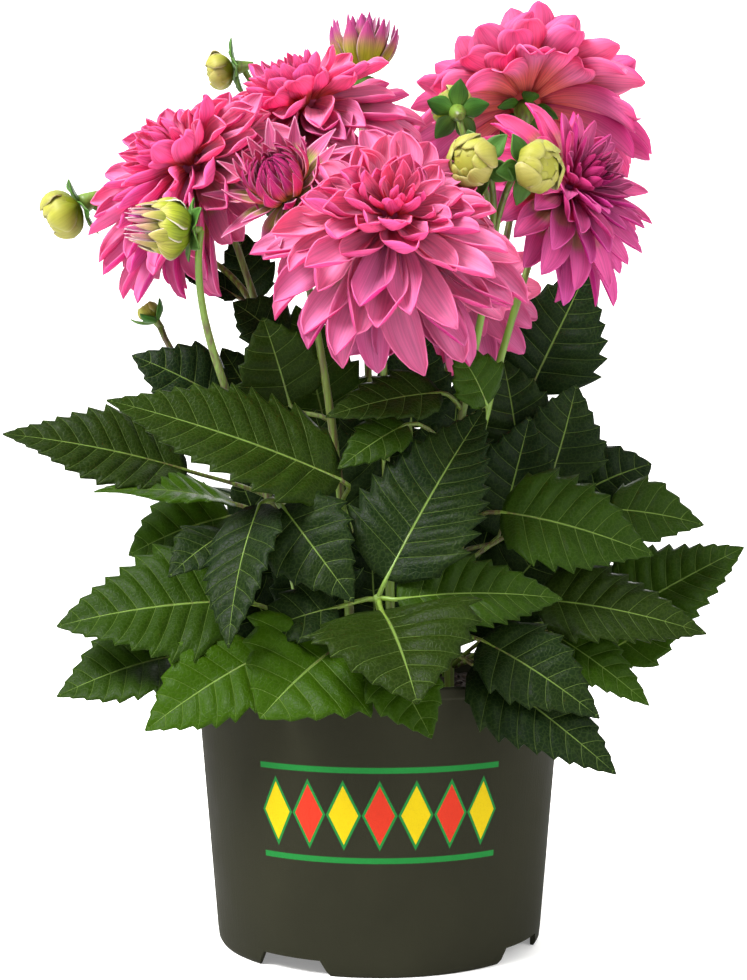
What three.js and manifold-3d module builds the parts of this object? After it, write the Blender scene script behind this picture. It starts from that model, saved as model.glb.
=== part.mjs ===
// A potted dahlia: leafy stems that stand in soil in a plastic nursery pot, with double blooms and buds.
// Lengths are in millimetres and angles in degrees. +Z is up, -Y faces the viewer, and the origin is the
// centre of the pot's foot, on the surface that the pot stands on.

import * as THREE from 'three';
import { mergeVertices } from 'three/addons/utils/BufferGeometryUtils.js';
import Module from 'manifold-3d';

const wasm = await Module();
wasm.setup();

// Driving dimensions
const POT_HEIGHT = 138;
const POT_RIM_RADIUS = 94; // outside of the wall, just under the lip
const POT_BASE_RADIUS = 83.3; // outside of the wall, just above the foot
const POT_WALL = 1.8;
const LIP_REACH = 1.8; // how far the rolled lip stands out from the wall
const LIP_HEIGHT = 6;
const FOOT_HEIGHT = 8; // height of the skirt under the pot's floor
const FOOT_TUCK = 2.2; // how far the foot's rounded edge pulls in
const NOTCH_AZIMUTHS = [-121, -31, 59, 149]; // of the notches in the skirt, in degrees from +X
const GAP = 0.35; // clearance between touching pieces
const SOIL_TOP = POT_HEIGHT - 12;
const HOLE_DEPTH = 22; // how deep a shoot stands in the soil
const STEM_RADIUS = 2.7; // of a shoot, at the soil
const NECK_RADIUS = 1.7; // of a shoot, under its flower
const STALK_RADIUS = 1.25; // of a leaf's stalk
const LEAF_THICKNESS = 1.5; // at the midrib
const LEAF_FOLD = 13; // how far each half of a blade is folded up, in degrees
const PETAL_THICKNESS = 1.4; // along the middle of a petal
const ROUNDED_LENGTH = 34; // petals longer than this have a rounded tip
const OPEN_LEAN = 60; // petals whose tips lean out further than this make room for a neighbour
const CUP_TOP = -PETAL_THICKNESS - GAP; // height of the green cup's top in the head's own frame

const material = (color, roughness) => new THREE.MeshStandardMaterial({ color, roughness, metalness: 0 });
const PLASTIC = material(0x3b3a33, 0.55);
const SOIL = material(0x33231a, 1);
const GREEN = material(0x2f5a1e, 0.6);
const PINK = material(0xee6aa0, 0.6);
const MAGENTA = material(0xc23a8c, 0.6);
const LIME = material(0xb4c83a, 0.6);

const UP = new THREE.Vector3(0, 0, 1);
const vec = (x, y, z) => new THREE.Vector3(x, y, z);
const radians = THREE.MathUtils.degToRad;
const lerp = THREE.MathUtils.lerp;

// The point at an azimuth in degrees and a distance from the Z axis, at height z.
function polar(azimuth, reach, z) {
  return vec(reach * Math.cos(radians(azimuth)), reach * Math.sin(radians(azimuth)), z);
}

// A number from -0.5 to 0.5 that is always the same for the same two seeds.
function jitter(i, k) {
  const wave = Math.sin(i * 12.9898 + k * 78.233) * 43758.5453;
  return wave - Math.floor(wave) - 0.5;
}

// A closed three.js geometry as a solid for joining and cutting. Its faces are turned to face out.
function solidOf(geometry) {
  const bare = geometry.clone();
  bare.deleteAttribute('normal');
  bare.deleteAttribute('uv');
  const merged = mergeVertices(bare, 1e-4);
  const vertProperties = merged.attributes.position.array;
  const triVerts = new Uint32Array(merged.index.array);
  const solid = new wasm.Manifold(new wasm.Mesh({ numProp: 3, vertProperties, triVerts }));
  if (solid.volume() > 0) return solid;
  for (let i = 0; i < triVerts.length; i += 3) {
    [triVerts[i], triVerts[i + 1]] = [triVerts[i + 1], triVerts[i]];
  }
  return new wasm.Manifold(new wasm.Mesh({ numProp: 3, vertProperties, triVerts }));
}

function meshOf(name, solid, look) {
  const { vertProperties, triVerts } = solid.getMesh();
  const geometry = new THREE.BufferGeometry();
  geometry.setAttribute('position', new THREE.BufferAttribute(vertProperties, 3));
  geometry.setIndex(new THREE.BufferAttribute(triVerts, 1));
  geometry.computeVertexNormals();
  const mesh = new THREE.Mesh(geometry, look);
  mesh.name = name;
  return mesh;
}

const joined = (solids) => solids.reduce((whole, next) => whole.add(next));

// A skin that is put together point by point. A row or a loop lists [position, point number] pairs.
class Skin {
  constructor(place = (point) => point) {
    this.place = place;
    this.points = [];
    this.faces = [];
  }

  add(point) {
    return this.points.push(this.place(point)) - 1;
  }

  // Triangles between two rows. Where the rows share a first or a last point, they meet in it.
  strip(inner, outer, turned) {
    let [i, j] = [0, 0];
    while (i + 1 < inner.length || j + 1 < outer.length) {
      const outerFirst = j + 1 < outer.length && outer[j + 1][0] <= inner[i + 1]?.[0];
      const stepOuter = i + 1 >= inner.length || outerFirst;
      const next = stepOuter ? outer[j + 1][1] : inner[i + 1][1];
      const face = [inner[i][1], outer[j][1], next];
      if (new Set(face).size === 3) this.faces.push(turned ? face : [face[1], face[0], face[2]]);
      if (stepOuter) j++;
      else i++;
    }
  }

  // A band between two closed loops, which both run round the axis in degrees.
  band(lower, upper) {
    const start = lower[0][0];
    const pitch = 360 / upper.length;
    const from = start - pitch / 2;
    const unwrap = (angle) => from + THREE.MathUtils.euclideanModulo(angle - from, 360);
    const turned = upper.map(([angle, index]) => [unwrap(angle), index]);
    turned.sort((a, b) => a[0] - b[0]);
    const closed = (loop) => [...loop, [loop[0][0] + 360, loop[0][1]]];
    this.strip(closed(lower), closed(turned), false);
  }

  // A fan over a list of point numbers that runs round the centre. A loop that isn't closed is closed here.
  fan(centre, loop) {
    loop.forEach((from, k) => this.faces.push([from, loop[(k + 1) % loop.length], centre]));
  }

  // A flat lid over a loop, facing along the loop's axis, or against it where backwards is true.
  lid(loop, backwards) {
    const ring = loop.map((pair) => pair[1]);
    if (backwards) ring.reverse();
    for (let k = 1; k + 1 < ring.length; k++) this.faces.push([ring[0], ring[k], ring[k + 1]]);
  }

  solid() {
    const geometry = new THREE.BufferGeometry().setFromPoints(this.points);
    geometry.setIndex(this.faces.flat());
    return solidOf(geometry);
  }
}

// A round tube along a curve, with a radius that runs from one end's value to the other's.
function tube(curve, startRadius, endRadius, steps, sides) {
  const skin = new Skin();
  let across = vec(1, 0, 0);
  let below = null;
  for (let i = 0; i <= steps; i++) {
    const along = curve.getTangent(i / steps);
    const out = vec().crossVectors(along, across).normalize();
    across = vec().crossVectors(out, along).normalize();
    const radius = lerp(startRadius, endRadius, i / steps);
    const loop = [];
    for (let k = 0; k < sides; k++) {
      const turn = radians((360 * k) / sides);
      const spot = curve.getPoint(i / steps);
      spot.addScaledVector(across, radius * Math.cos(turn)).addScaledVector(out, radius * Math.sin(turn));
      loop.push([(360 * k) / sides, skin.add(spot)]);
    }
    if (below) skin.band(below, loop);
    else skin.lid(loop, true);
    below = loop;
  }
  skin.lid(below, false);
  return skin.solid();
}

// The pot: a tapered shell with a rolled lip, a raised floor, and a skirt with four notches
function potSolid() {
  const wallTop = POT_HEIGHT - LIP_HEIGHT;
  const slope = (POT_RIM_RADIUS - POT_BASE_RADIUS) / (wallTop - FOOT_HEIGHT);
  const insideBase = POT_BASE_RADIUS - POT_WALL;
  const insideRim = POT_RIM_RADIUS - POT_WALL + slope * LIP_HEIGHT;
  const floorTop = FOOT_HEIGHT + POT_WALL;
  const footOutside = POT_BASE_RADIUS - FOOT_TUCK;
  const lipOutside = POT_RIM_RADIUS + LIP_REACH;
  const profile = [
    [0, FOOT_HEIGHT],
    [insideBase - FOOT_TUCK / 2, FOOT_HEIGHT],
    [footOutside - POT_WALL, 0],
    [footOutside, 0],
    [POT_BASE_RADIUS - FOOT_TUCK / 3, FOOT_TUCK],
    [POT_BASE_RADIUS, FOOT_HEIGHT],
    [POT_RIM_RADIUS, wallTop],
    [lipOutside, wallTop + 1],
    [lipOutside, POT_HEIGHT - 1],
    [lipOutside - 1, POT_HEIGHT],
    [insideRim, POT_HEIGHT],
    [insideBase, floorTop],
    [0, floorTop],
  ].map(([r, z]) => new THREE.Vector2(r, z));
  let pot = solidOf(new THREE.LatheGeometry(profile, 32).rotateX(Math.PI / 2));
  for (const azimuth of NOTCH_AZIMUTHS) {
    pot = pot.subtract(notchSolid(azimuth)).subtract(drainSolid(azimuth));
  }
  return pot;
}

// A tapered cutter for one notch in the skirt, wider at the foot than at its top.
function notchSolid(azimuth) {
  const [footHalf, topHalf, top] = [21, 16, FOOT_HEIGHT - 0.6];
  const shape = new THREE.Shape();
  shape.moveTo(-footHalf, -1);
  shape.lineTo(footHalf, -1);
  shape.lineTo(topHalf, top);
  shape.lineTo(-topHalf, top);
  const geometry = new THREE.ExtrudeGeometry(shape, { depth: 40, bevelEnabled: false, steps: 1 });
  geometry.rotateX(Math.PI / 2);
  geometry.translate(0, -POT_BASE_RADIUS + 25, 0);
  geometry.rotateZ(radians(azimuth + 90));
  return solidOf(geometry);
}

function drainSolid(azimuth) {
  const geometry = new THREE.CylinderGeometry(6, 6, 10, 6).rotateX(Math.PI / 2);
  const turn = radians(azimuth);
  geometry.translate(60 * Math.cos(turn), 60 * Math.sin(turn), FOOT_HEIGHT);
  return solidOf(geometry);
}

// The soil: a plug with a crumbled top, and a plain hole for each shoot
function soilSolid() {
  const slope = (POT_RIM_RADIUS - POT_BASE_RADIUS) / (POT_HEIGHT - LIP_HEIGHT - FOOT_HEIGHT);
  const bottom = FOOT_HEIGHT + POT_WALL + GAP;
  const radiusAt = (z) => POT_BASE_RADIUS + slope * (z - FOOT_HEIGHT) - POT_WALL - 2 * GAP;
  const profile = [
    [0, bottom],
    [radiusAt(bottom) - 1, bottom],
    [radiusAt(SOIL_TOP) - 1, SOIL_TOP],
    [68, SOIL_TOP + 1],
    [44, SOIL_TOP + 1],
    [0, SOIL_TOP + 1],
  ].map(([r, z]) => new THREE.Vector2(r, z));
  const geometry = new THREE.LatheGeometry(profile, 18).rotateX(Math.PI / 2);
  const places = geometry.attributes.position;
  for (let i = 0; i < places.count; i++) {
    const [x, y, z] = [places.getX(i), places.getY(i), places.getZ(i)];
    const lump = 2.2 * Math.sin(x * 0.13 + 1) * Math.cos(y * 0.11) + 1.3 * Math.sin(x * 0.31 - y * 0.27);
    if (z > SOIL_TOP + 0.5) places.setZ(i, z + lump);
  }
  let soil = solidOf(geometry);
  for (const shoot of SHOOTS) {
    const radius = STEM_RADIUS + 2 * GAP;
    const hole = new THREE.CylinderGeometry(radius, radius, 2 * HOLE_DEPTH, 7);
    hole.rotateX(Math.PI / 2).translate(shoot.root[0], shoot.root[1], SOIL_TOP);
    soil = soil.subtract(solidOf(hole));
  }
  return soil;
}

// Flower heads are crowns of petals in tiers, from the outermost tier to the innermost one. In a row: the
// number of petals; the radius and the height that they start at; their lean from the head's axis at the
// root and at the tip; their length and width; and how steeply their edges turn up. Sizes are shares of
// the head's radius.
function tier(count, seat, height, lean, length, width, cup) {
  return { count, seat, height, lean, length, width, cup };
}
const OPEN = {
  tiers: [
    tier(8, 0.17, 0.0, [98, 126], 0.88, 0.4, 12),
    tier(8, 0.19, 0.07, [88, 114], 0.92, 0.42, 14),
    tier(8, 0.19, 0.14, [76, 98], 0.9, 0.42, 16),
    tier(8, 0.18, 0.21, [62, 84], 0.84, 0.4, 18),
    tier(6, 0.16, 0.27, [50, 64], 0.72, 0.38, 20),
    tier(6, 0.13, 0.32, [42, 38], 0.56, 0.32, 22),
    tier(5, 0.09, 0.36, [30, 6], 0.43, 0.26, 24),
    tier(4, 0.055, 0.39, [16, -18], 0.34, 0.18, 20),
  ],
  top: 0.42,
  sag: 0.15,
  looseness: 1,
};
const SMALL_OPEN = {
  tiers: [
    tier(7, 0.2, 0.0, [92, 116], 0.9, 0.44, 12),
    tier(7, 0.22, 0.09, [76, 96], 0.9, 0.44, 16),
    tier(6, 0.2, 0.18, [58, 74], 0.78, 0.42, 18),
    tier(5, 0.16, 0.26, [42, 36], 0.6, 0.38, 20),
    tier(4, 0.09, 0.32, [22, -4], 0.46, 0.28, 22),
  ],
  top: 0.36,
  sag: 0.08,
  looseness: 0.8,
};
const HALF_OPEN = {
  tiers: [
    tier(5, 0.26, 0.0, [80, 96], 1.1, 0.5, 14),
    tier(6, 0.32, 0.1, [64, 44], 1.1, 0.46, 18),
    tier(7, 0.34, 0.2, [66, -20], 1.04, 0.44, 20),
    tier(7, 0.28, 0.3, [54, -34], 0.94, 0.36, 20),
    tier(5, 0.16, 0.38, [36, -34], 0.86, 0.3, 20),
  ],
  top: 0.5,
  sag: 0,
  looseness: 0.6,
};
const CUPPED = {
  tiers: [
    tier(6, 0.24, 0.0, [62, 14], 1.0, 0.44, 18),
    tier(6, 0.26, 0.1, [46, -4], 0.96, 0.38, 20),
    tier(5, 0.18, 0.2, [28, -6], 0.86, 0.3, 20),
    tier(3, 0.08, 0.26, [12, -4], 0.78, 0.22, 16),
  ],
  top: 0.3,
  sag: 0,
  looseness: 0.6,
};
const BULBOUS = {
  tiers: [
    tier(6, 0.22, 0.0, [78, -26], 1.02, 0.5, 8),
    tier(6, 0.2, 0.1, [46, -12], 1.06, 0.36, 12),
    tier(4, 0.1, 0.18, [22, -6], 1.0, 0.24, 12),
  ],
  top: 0.26,
  sag: 0,
  looseness: 0.3,
};

// The heads, each with its receptacle's place, the way it faces, and its radius. bracts gives the green
// leaflets under it: their lean at the root and at the tip, and their length and width in millimetres.
// yields names crowded neighbours, with the share of their length that the petals on that side keep, and
// clearing is how far round to either side of a neighbour they keep it, in degrees.
// handle bends a side stem round something that is in its way.
const REFLEXED = { lean: [104, 150], length: 17, width: 8 };
const SPREADING = { lean: [74, 112], length: 15, width: 9 };
const HANGING = { lean: [112, 168], length: 19, width: 9 };
function bloom(at, axis, radius) {
  return { tiers: OPEN, at, axis, radius, bracts: REFLEXED, look: PINK, yields: {} };
}
const bud = (at, axis, radius, bracts = SPREADING) => ({ at, axis, radius, bracts, look: LIME });
const HEADS = {
  bloom_front: {
    ...bloom([4, -66, 352], [0.14, -0.8, 0.56], 58.5),
    yields: { bloom_half_open: 0.52, bud_twin_left: 0.6, bloom_right: 0.72 },
  },
  bloom_left: {
    ...bloom([-89.5, -4, 390], [-0.7, -0.46, 0.54], 57.5),
    yields: { bloom_half_open: 0.76, bloom_back_left: 0.6 },
  },
  bloom_back_left: {
    ...bloom([-36, 26, 424.5], [-0.3, -0.34, 0.89], 57),
    yields: { bloom_half_open: 0.8, bud_top: 0.56, bloom_left: 0.6 },
    clearing: 48,
  },
  bloom_top_right: {
    ...bloom([82, 66, 445], [0.1, 0.68, 0.72], 62.5),
    yields: { bud_back: 0.8 },
    handle: [74, 58, 352],
  },
  bloom_right: {
    ...bloom([91, -10, 380.5], [0.7, -0.6, 0.38], 48),
    yields: { bud_twin_right: 0.7 },
    handle: [72, -8, 326],
  },
  bloom_behind: { ...bloom([46, 28, 336], [0.2, -0.9, 0.2], 38), tiers: SMALL_OPEN },
  bloom_half_open: {
    ...bloom([-45, -50, 375], [-0.34, -0.78, 0.52], 27),
    tiers: HALF_OPEN,
    yields: { bloom_front: 0.6 },
    look: MAGENTA,
  },
  bud_top: {
    ...bloom([-9, 76, 466], [0.05, -0.08, 1], 28),
    tiers: CUPPED,
    bracts: HANGING,
    look: MAGENTA,
  },
  bud_left_front: {
    ...bloom([-90, -80, 353], [-0.94, -0.3, 0.04], 17),
    tiers: BULBOUS,
    bracts: SPREADING,
    look: LIME,
    handle: [-96, -66, 285],
  },
  bud_left: { ...bud([-165, 52, 386], [-0.82, -0.1, -0.5], 12), handle: [-132, 78, 366] },
  bud_upper_left: { ...bud([-84, 92, 472], [-0.95, -0.1, -0.2], 9), handle: [-54, 122, 436] },
  bud_twin_left: bud([49, -62, 388], [-0.52, -0.84, -0.12], 11),
  bud_twin_right: bud([71, -62, 385], [0.56, -0.8, -0.1], 11),
  bud_back: bud([41, 16, 430], [-0.1, 0.9, 0.4], 10),
  bud_side: bud([-119, 14, 321], [-0.6, -0.15, 0.8], 5, { lean: [70, 30], length: 12, width: 4 }),
};

const turnOf = (head) => new THREE.Quaternion().setFromUnitVectors(UP, vec(...head.axis).normalize());

// The share of its length that a petal keeps, from its azimuth in the head's own frame.
function roomAt(head, azimuth) {
  let room = 1;
  for (const [name, share] of Object.entries(head.yields)) {
    const way = vec(...HEADS[name].at).sub(vec(...head.at)).applyQuaternion(turnOf(head).invert());
    const toward = THREE.MathUtils.radToDeg(Math.atan2(way.y, way.x));
    const apart = Math.abs(((azimuth - toward + 540) % 360) - 180);
    const from = head.clearing ?? 24;
    room = Math.min(room, lerp(share, 1, THREE.MathUtils.smoothstep(apart, from, from + 22)));
  }
  return room;
}

// Moves a point from a head's own frame, where +Z is the axis, to its place, sagging more further out.
function placeOf(head) {
  const turn = turnOf(head);
  const sag = (head.tiers?.sag ?? 0) * head.radius;
  return (point) => {
    const out = point.length() / head.radius;
    return point.clone().applyQuaternion(turn).add(vec(...head.at)).addScaledVector(UP, -sag * out ** 2);
  };
}

// One petal's frame at a share of its length. It bends evenly from its first lean to its last.
function petalFrame(row, azimuth, tilt, share) {
  const [start, end] = row.lean.map((lean) => radians(lean + tilt));
  const lean = lerp(start, end, share);
  const bend = end - start;
  const reach = row.seat + (row.length * (Math.cos(start) - Math.cos(lean))) / bend;
  const height = row.height + (row.length * (Math.sin(lean) - Math.sin(start))) / bend;
  const radial = polar(azimuth, 1, 0);
  return {
    reach,
    spot: radial.clone().multiplyScalar(reach).addScaledVector(UP, height),
    across: vec(-radial.y, radial.x, 0),
    face: radial.clone().multiplyScalar(-Math.cos(lean)).addScaledVector(UP, Math.sin(lean)),
  };
}

// Adds one tier of petals to a skin, and returns the loops that run under and over the petals' roots.
function addTier(skin, row, phase, seed, looseness, roomFor) {
  const pitch = 360 / row.count;
  const [under, over] = [[], []];
  const valleys = [];
  for (let i = 0; i < row.count; i++) {
    valleys.push(skin.add(polar(phase + i * pitch, row.seat, row.height)));
  }
  for (let i = 0; i < row.count; i++) {
    const middle = phase + (i + 0.5) * pitch;
    const [left, right] = [valleys[i], valleys[(i + 1) % row.count]];
    const root = (side) => skin.add(polar(middle, row.seat, row.height + side * 0.7 * PETAL_THICKNESS));
    const [low, high] = [root(-1), root(1)];
    under.push([phase + i * pitch, left], [middle, low]);
    over.push([phase + i * pitch, left], [middle, high]);
    const tilt = looseness * 7 * jitter(i, seed);
    const yaw = looseness * 0.12 * pitch * jitter(i, seed + 1);
    const room = row.lean[1] > OPEN_LEAN ? roomFor(middle + yaw) : 1;
    const size = { ...row, length: row.length * room * (1 + looseness * 0.14 * jitter(i, seed + 2)) };
    const at = (share, side, wide, lift) => {
      const { reach, spot, across, face } = petalFrame(size, middle + yaw, tilt, share);
      const half = wide * Math.min(row.width / 2, 0.39 * radians(pitch) * Math.max(reach, 0.5));
      spot.addScaledVector(across, side * half);
      return skin.add(spot.addScaledVector(face, lift + half * Math.tan(radians(row.cup))));
    };
    const rounded = row.length > ROUNDED_LENGTH;
    const broad = (side) => [at(0.5, side, 1, 0), at(0.85, side, 0.7, 0)];
    const edge = (side) => (rounded ? broad(side) : [at(0.6, side, 1, 0)]);
    const rim = [...edge(1), at(1, 0, 0, 0), ...edge(-1).reverse()];
    skin.fan(at(0.5, 0, 0, -PETAL_THICKNESS / 2), [left, low, right, ...rim]);
    skin.fan(at(0.5, 0, 0, PETAL_THICKNESS / 2), [right, high, left, ...rim.reverse()]);
  }
  return { under, over };
}

// A crown of tiers, closed by a point on the axis at its foot and another at its top.
function crownSolid(rows, foot, top, place, seed, looseness, roomFor = () => 1) {
  const skin = new Skin(place);
  let below = null;
  rows.forEach((row, t) => {
    const { under, over } = addTier(skin, row, 137.5 * t + 40 * seed, seed + 7 * t, looseness, roomFor);
    if (below) skin.band(below, under);
    else skin.fan(skin.add(vec(0, 0, foot)), under.map((pair) => pair[1]).reverse());
    below = over;
  });
  skin.fan(skin.add(vec(0, 0, top)), below.map((pair) => pair[1]));
  return skin.solid();
}

function headSolid(head, seed) {
  const { tiers, radius } = head;
  if (!tiers) return budSolid(head);
  const rows = tiers.tiers.map((row) => ({
    ...row,
    seat: row.seat * radius,
    height: row.height * radius,
    length: row.length * radius,
    width: row.width * radius,
  }));
  const roomFor = (azimuth) => roomAt(head, azimuth);
  const top = tiers.top * radius;
  return crownSolid(rows, -PETAL_THICKNESS, top, placeOf(head), seed, tiers.looseness, roomFor);
}

// A closed bud: a ball with the ridges of its scales, a little drawn out at its tip.
// In BUD_RINGS, each ring's radius, height and ridge height are shares of the bud's radius.
const BUD_SCALES = 5;
const BUD_RINGS = [
  [0.5, 0.02, 0],
  [0.9, 0.42, 0.04],
  [1, 0.95, 0.07],
  [0.78, 1.5, 0.08],
  [0.34, 1.82, 0.05],
];
function budSolid(head) {
  const skin = new Skin(placeOf(head));
  const r = head.radius;
  let below = null;
  for (const [share, height, ridge] of BUD_RINGS) {
    const loop = [];
    for (let k = 0; k < 2 * BUD_SCALES; k++) {
      const turn = (180 * k) / BUD_SCALES;
      const reach = r * (share + (k % 2 ? ridge : -ridge));
      loop.push([turn, skin.add(polar(turn, reach, r * height))]);
    }
    if (below) skin.band(below, loop);
    else skin.fan(skin.add(vec(0, 0, 0)), loop.map((pair) => pair[1]).reverse());
    below = loop;
  }
  skin.fan(skin.add(vec(0, 0, 1.94 * r)), below.map((pair) => pair[1]));
  return skin.solid();
}

// The green cup under a head: a crown of five bracts that narrows down to the stem.
function cupSolid(head, seed) {
  const seat = head.tiers ? 0.11 * head.radius : 0.46 * head.radius;
  const { lean, length, width } = head.bracts;
  const row = tier(5, seat, CUP_TOP - PETAL_THICKNESS, lean, length, width, 6);
  return crownSolid([row], CUP_TOP - 2.6 * seat, CUP_TOP - 0.2, placeOf(head), seed, 1.6);
}

// A leaf's row: the ends of its midrib, its width, the way its upper side faces, and how high it arches.
const leaf = (base, tip, width, face, arch) => ({ base, tip, width, face, arch });

// A leaf that points away from the pot's axis, given by where its stalk ends and how steeply it rises.
function outward(azimuth, radius, height, length, width, rise) {
  const radial = polar(azimuth, 1, 0);
  const [level, climb] = [Math.cos(radians(rise)), Math.sin(radians(rise))];
  const base = radial.clone().multiplyScalar(radius).addScaledVector(UP, height);
  const tip = base.clone().addScaledVector(radial, length * level).addScaledVector(UP, length * climb);
  const face = radial.clone().multiplyScalar(-climb).addScaledVector(UP, level);
  return leaf(base.toArray(), tip.toArray(), width, face.toArray(), 0.13 * length);
}

// The shoots. Each stands at root in the soil and carries heads and leaves. A side head or a twig leaves
// the stem at the share given in from. A twig's leaves all spring from the node at its end.
const SHOOTS = [
  {
    name: 'shoot_left',
    root: [-34, 4],
    heads: [{ head: 'bloom_left' }, { head: 'bud_left', from: 0.72 }, { head: 'bud_side', from: 0.35 }],
    leaves: [
      leaf([-99, -5, 240], [-189, -30, 258], 52, [-0.1, -0.75, 0.65], 8),
      leaf([-74, -15, 223], [-141, -42, 229], 44, [0, -0.36, 0.93], 8),
      leaf([-78, 10, 216], [-130, 0, 196], 58, [-0.2, -0.8, 0.55], 8),
      leaf([-100, -40, 148], [-156, -60, 130], 48, [-0.2, -0.75, 0.65], 7),
      leaf([-80, -8, 276], [-127, -10, 299], 42, [0, -0.88, 0.5], 6),
      leaf([-75, 18, 332], [-108, 18, 347], 20, [0, -0.7, 0.7], 5),
    ],
  },
  {
    name: 'shoot_left_front',
    root: [-36, -20],
    heads: [{ head: 'bud_left_front' }],
    leaves: [
      leaf([-72, -45, 175], [-156, -60, 164], 66, [-0.15, -0.78, 0.62], 9),
      leaf([-74, -62, 209], [-99, -84, 189], 29, [-0.1, -0.8, 0.6], 5),
      leaf([-56, -68, 151], [-110, -84, 117], 50, [-0.1, -0.85, 0.5], 8),
    ],
  },
  {
    name: 'shoot_half_open',
    root: [-14, -30],
    heads: [{ head: 'bloom_half_open' }],
    leaves: [
      leaf([-19, -62, 235], [-128, -85, 272], 60, [0.1, -0.78, 0.62], 9),
      leaf([-45, -25, 273], [-58, -35, 316], 44, [0, -0.92, 0.4], 7),
      leaf([-50, -8, 306], [-75, -12, 326], 36, [0.1, -0.85, 0.5], 5),
    ],
    twigs: [
      {
        from: 0.3,
        node: [-50, -64, 226],
        leaves: [
          leaf([-57, -72, 223], [-68, -118, 159], 38, [-0.45, -0.85, 0.2], 10),
          leaf([-46, -72, 222], [-12, -94, 178], 46, [-0.25, -0.85, 0.45], 8),
        ],
      },
    ],
  },
  {
    name: 'shoot_front',
    root: [6, -34],
    heads: [{ head: 'bloom_front' }],
    leaves: [],
    twigs: [
      {
        from: 0.18,
        node: [-1, -86, 180],
        leaves: [
          leaf([3, -86, 188], [52, -45, 270], 60, [-0.25, -0.93, 0.25], 10),
          leaf([8, -90, 179], [87, -72, 178], 48, [0.1, -0.75, 0.65], 9),
          leaf([1, -96, 174], [16, -150, 138], 76, [0.02, -0.7, 0.7], 12),
          leaf([-20, -86, 175], [-60, -92, 162], 34, [0, -0.8, 0.6], 5),
        ],
      },
      {
        from: 0.13,
        node: [-6, -88, 152],
        leaves: [
          leaf([4, -98, 150], [23, -122, 119], 36, [0.1, -0.93, 0.35], 6),
          leaf([-21, -90, 156], [-54, -116, 127], 70, [-0.05, -0.88, 0.48], 9),
        ],
      },
    ],
  },
  {
    name: 'shoot_twin',
    root: [24, -26],
    heads: [{ head: 'bud_twin_left' }, { head: 'bud_twin_right', from: 0.8 }],
    leaves: [
      leaf([53, -40, 272], [35, -45, 302], 34, [0.3, -0.75, 0.6], 6),
      leaf([48, -80, 159], [101, -100, 125], 44, [0.15, -0.85, 0.5], 8),
      leaf([44, -84, 148], [108, -104, 100], 48, [0.15, -0.88, 0.45], 8),
      leaf([30, -42, 278], [-26, -64, 265], 32, [0, -0.8, 0.6], 6),
      leaf([13, -50, 262], [-20, -66, 240], 26, [0.1, -0.8, 0.6], 5),
    ],
  },
  {
    name: 'shoot_right',
    root: [36, -8],
    heads: [{ head: 'bloom_right' }],
    leaves: [
      leaf([60, -45, 219], [134, -50, 198], 58, [0, -0.82, 0.58], 9),
      leaf([118, -10, 220], [166, -13, 212], 40, [0, -0.8, 0.6], 5),
      leaf([120, 8, 160], [191, 6, 200], 52, [0, -0.8, 0.6], 5),
      leaf([77, -45, 176], [159, -55, 160], 46, [0.05, -0.78, 0.62], 9),
      leaf([119, 0, 146], [163, 0, 168], 38, [0.1, -0.8, 0.6], 6),
      leaf([82, -45, 161], [130, -62, 126], 34, [0.1, -0.8, 0.6], 6),
      leaf([62, -2, 206], [78, -2, 268], 52, [0.1, -0.97, 0.25], 6),
    ],
  },
  {
    name: 'shoot_behind',
    root: [16, 8],
    heads: [{ head: 'bloom_behind' }],
    leaves: [
      leaf([18, -4, 196], [27, -6, 268], 44, [0, -0.97, 0.25], 6),
      leaf([40, 6, 152], [60, 8, 220], 50, [0.05, -0.95, 0.3], 6),
      leaf([36, 14, 228], [42, 16, 288], 44, [0.1, -0.95, 0.3], 6),
      leaf([16, -8, 262], [20, -6, 314], 42, [0.05, -0.97, 0.25], 6),
      leaf([60, 4, 168], [92, 0, 206], 50, [0.05, -0.9, 0.4], 6),
      leaf([-4, 10, 236], [4, 12, 292], 44, [0, -0.97, 0.2], 5),
    ],
  },
  {
    name: 'shoot_top_right',
    root: [36, 38],
    heads: [{ head: 'bloom_top_right' }, { head: 'bud_back', from: 0.7 }],
    leaves: [
      leaf([90, 12, 235], [105, 22, 286], 46, [0.2, -0.93, 0.3], 7),
      leaf([74, 24, 252], [66, 24, 300], 44, [0.1, -0.97, 0.2], 6),
      leaf([108, 30, 228], [147, 34, 244], 48, [0.1, -0.88, 0.45], 8),
      leaf([83, 50, 285], [115, 48, 352], 58, [0.1, -0.95, 0.3], 8),
      leaf([93, 19, 167], [111, 23, 227], 42, [0.1, -0.95, 0.3], 6),
      outward(20, 96, 196, 78, 48, -14),
      outward(44, 84, 232, 80, 50, 6),
      outward(66, 78, 176, 80, 52, -16),
      outward(58, 84, 290, 60, 40, 20),
      outward(38, 100, 158, 66, 46, -24),
    ],
  },
  {
    name: 'shoot_top',
    root: [-2, 34],
    heads: [{ head: 'bud_top' }],
    leaves: [
      leaf([-12, -2, 204], [-34, -8, 272], 54, [-0.05, -0.97, 0.25], 6),
      leaf([-22, 0, 158], [-52, -6, 206], 50, [-0.05, -0.9, 0.4], 6),
      leaf([-2, 12, 158], [-5, 14, 216], 48, [0, -0.95, 0.3], 6),
      leaf([-28, 17, 262], [-44, 18, 328], 50, [0, -0.98, 0.15], 4),
      outward(88, 72, 214, 80, 54, -4),
      outward(104, 76, 168, 76, 50, -22),
      outward(84, 56, 276, 66, 44, 20),
      outward(112, 62, 250, 72, 46, 8),
    ],
  },
  {
    name: 'shoot_back_left',
    root: [-26, 24],
    heads: [{ head: 'bloom_back_left' }, { head: 'bud_upper_left', from: 0.6 }],
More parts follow.
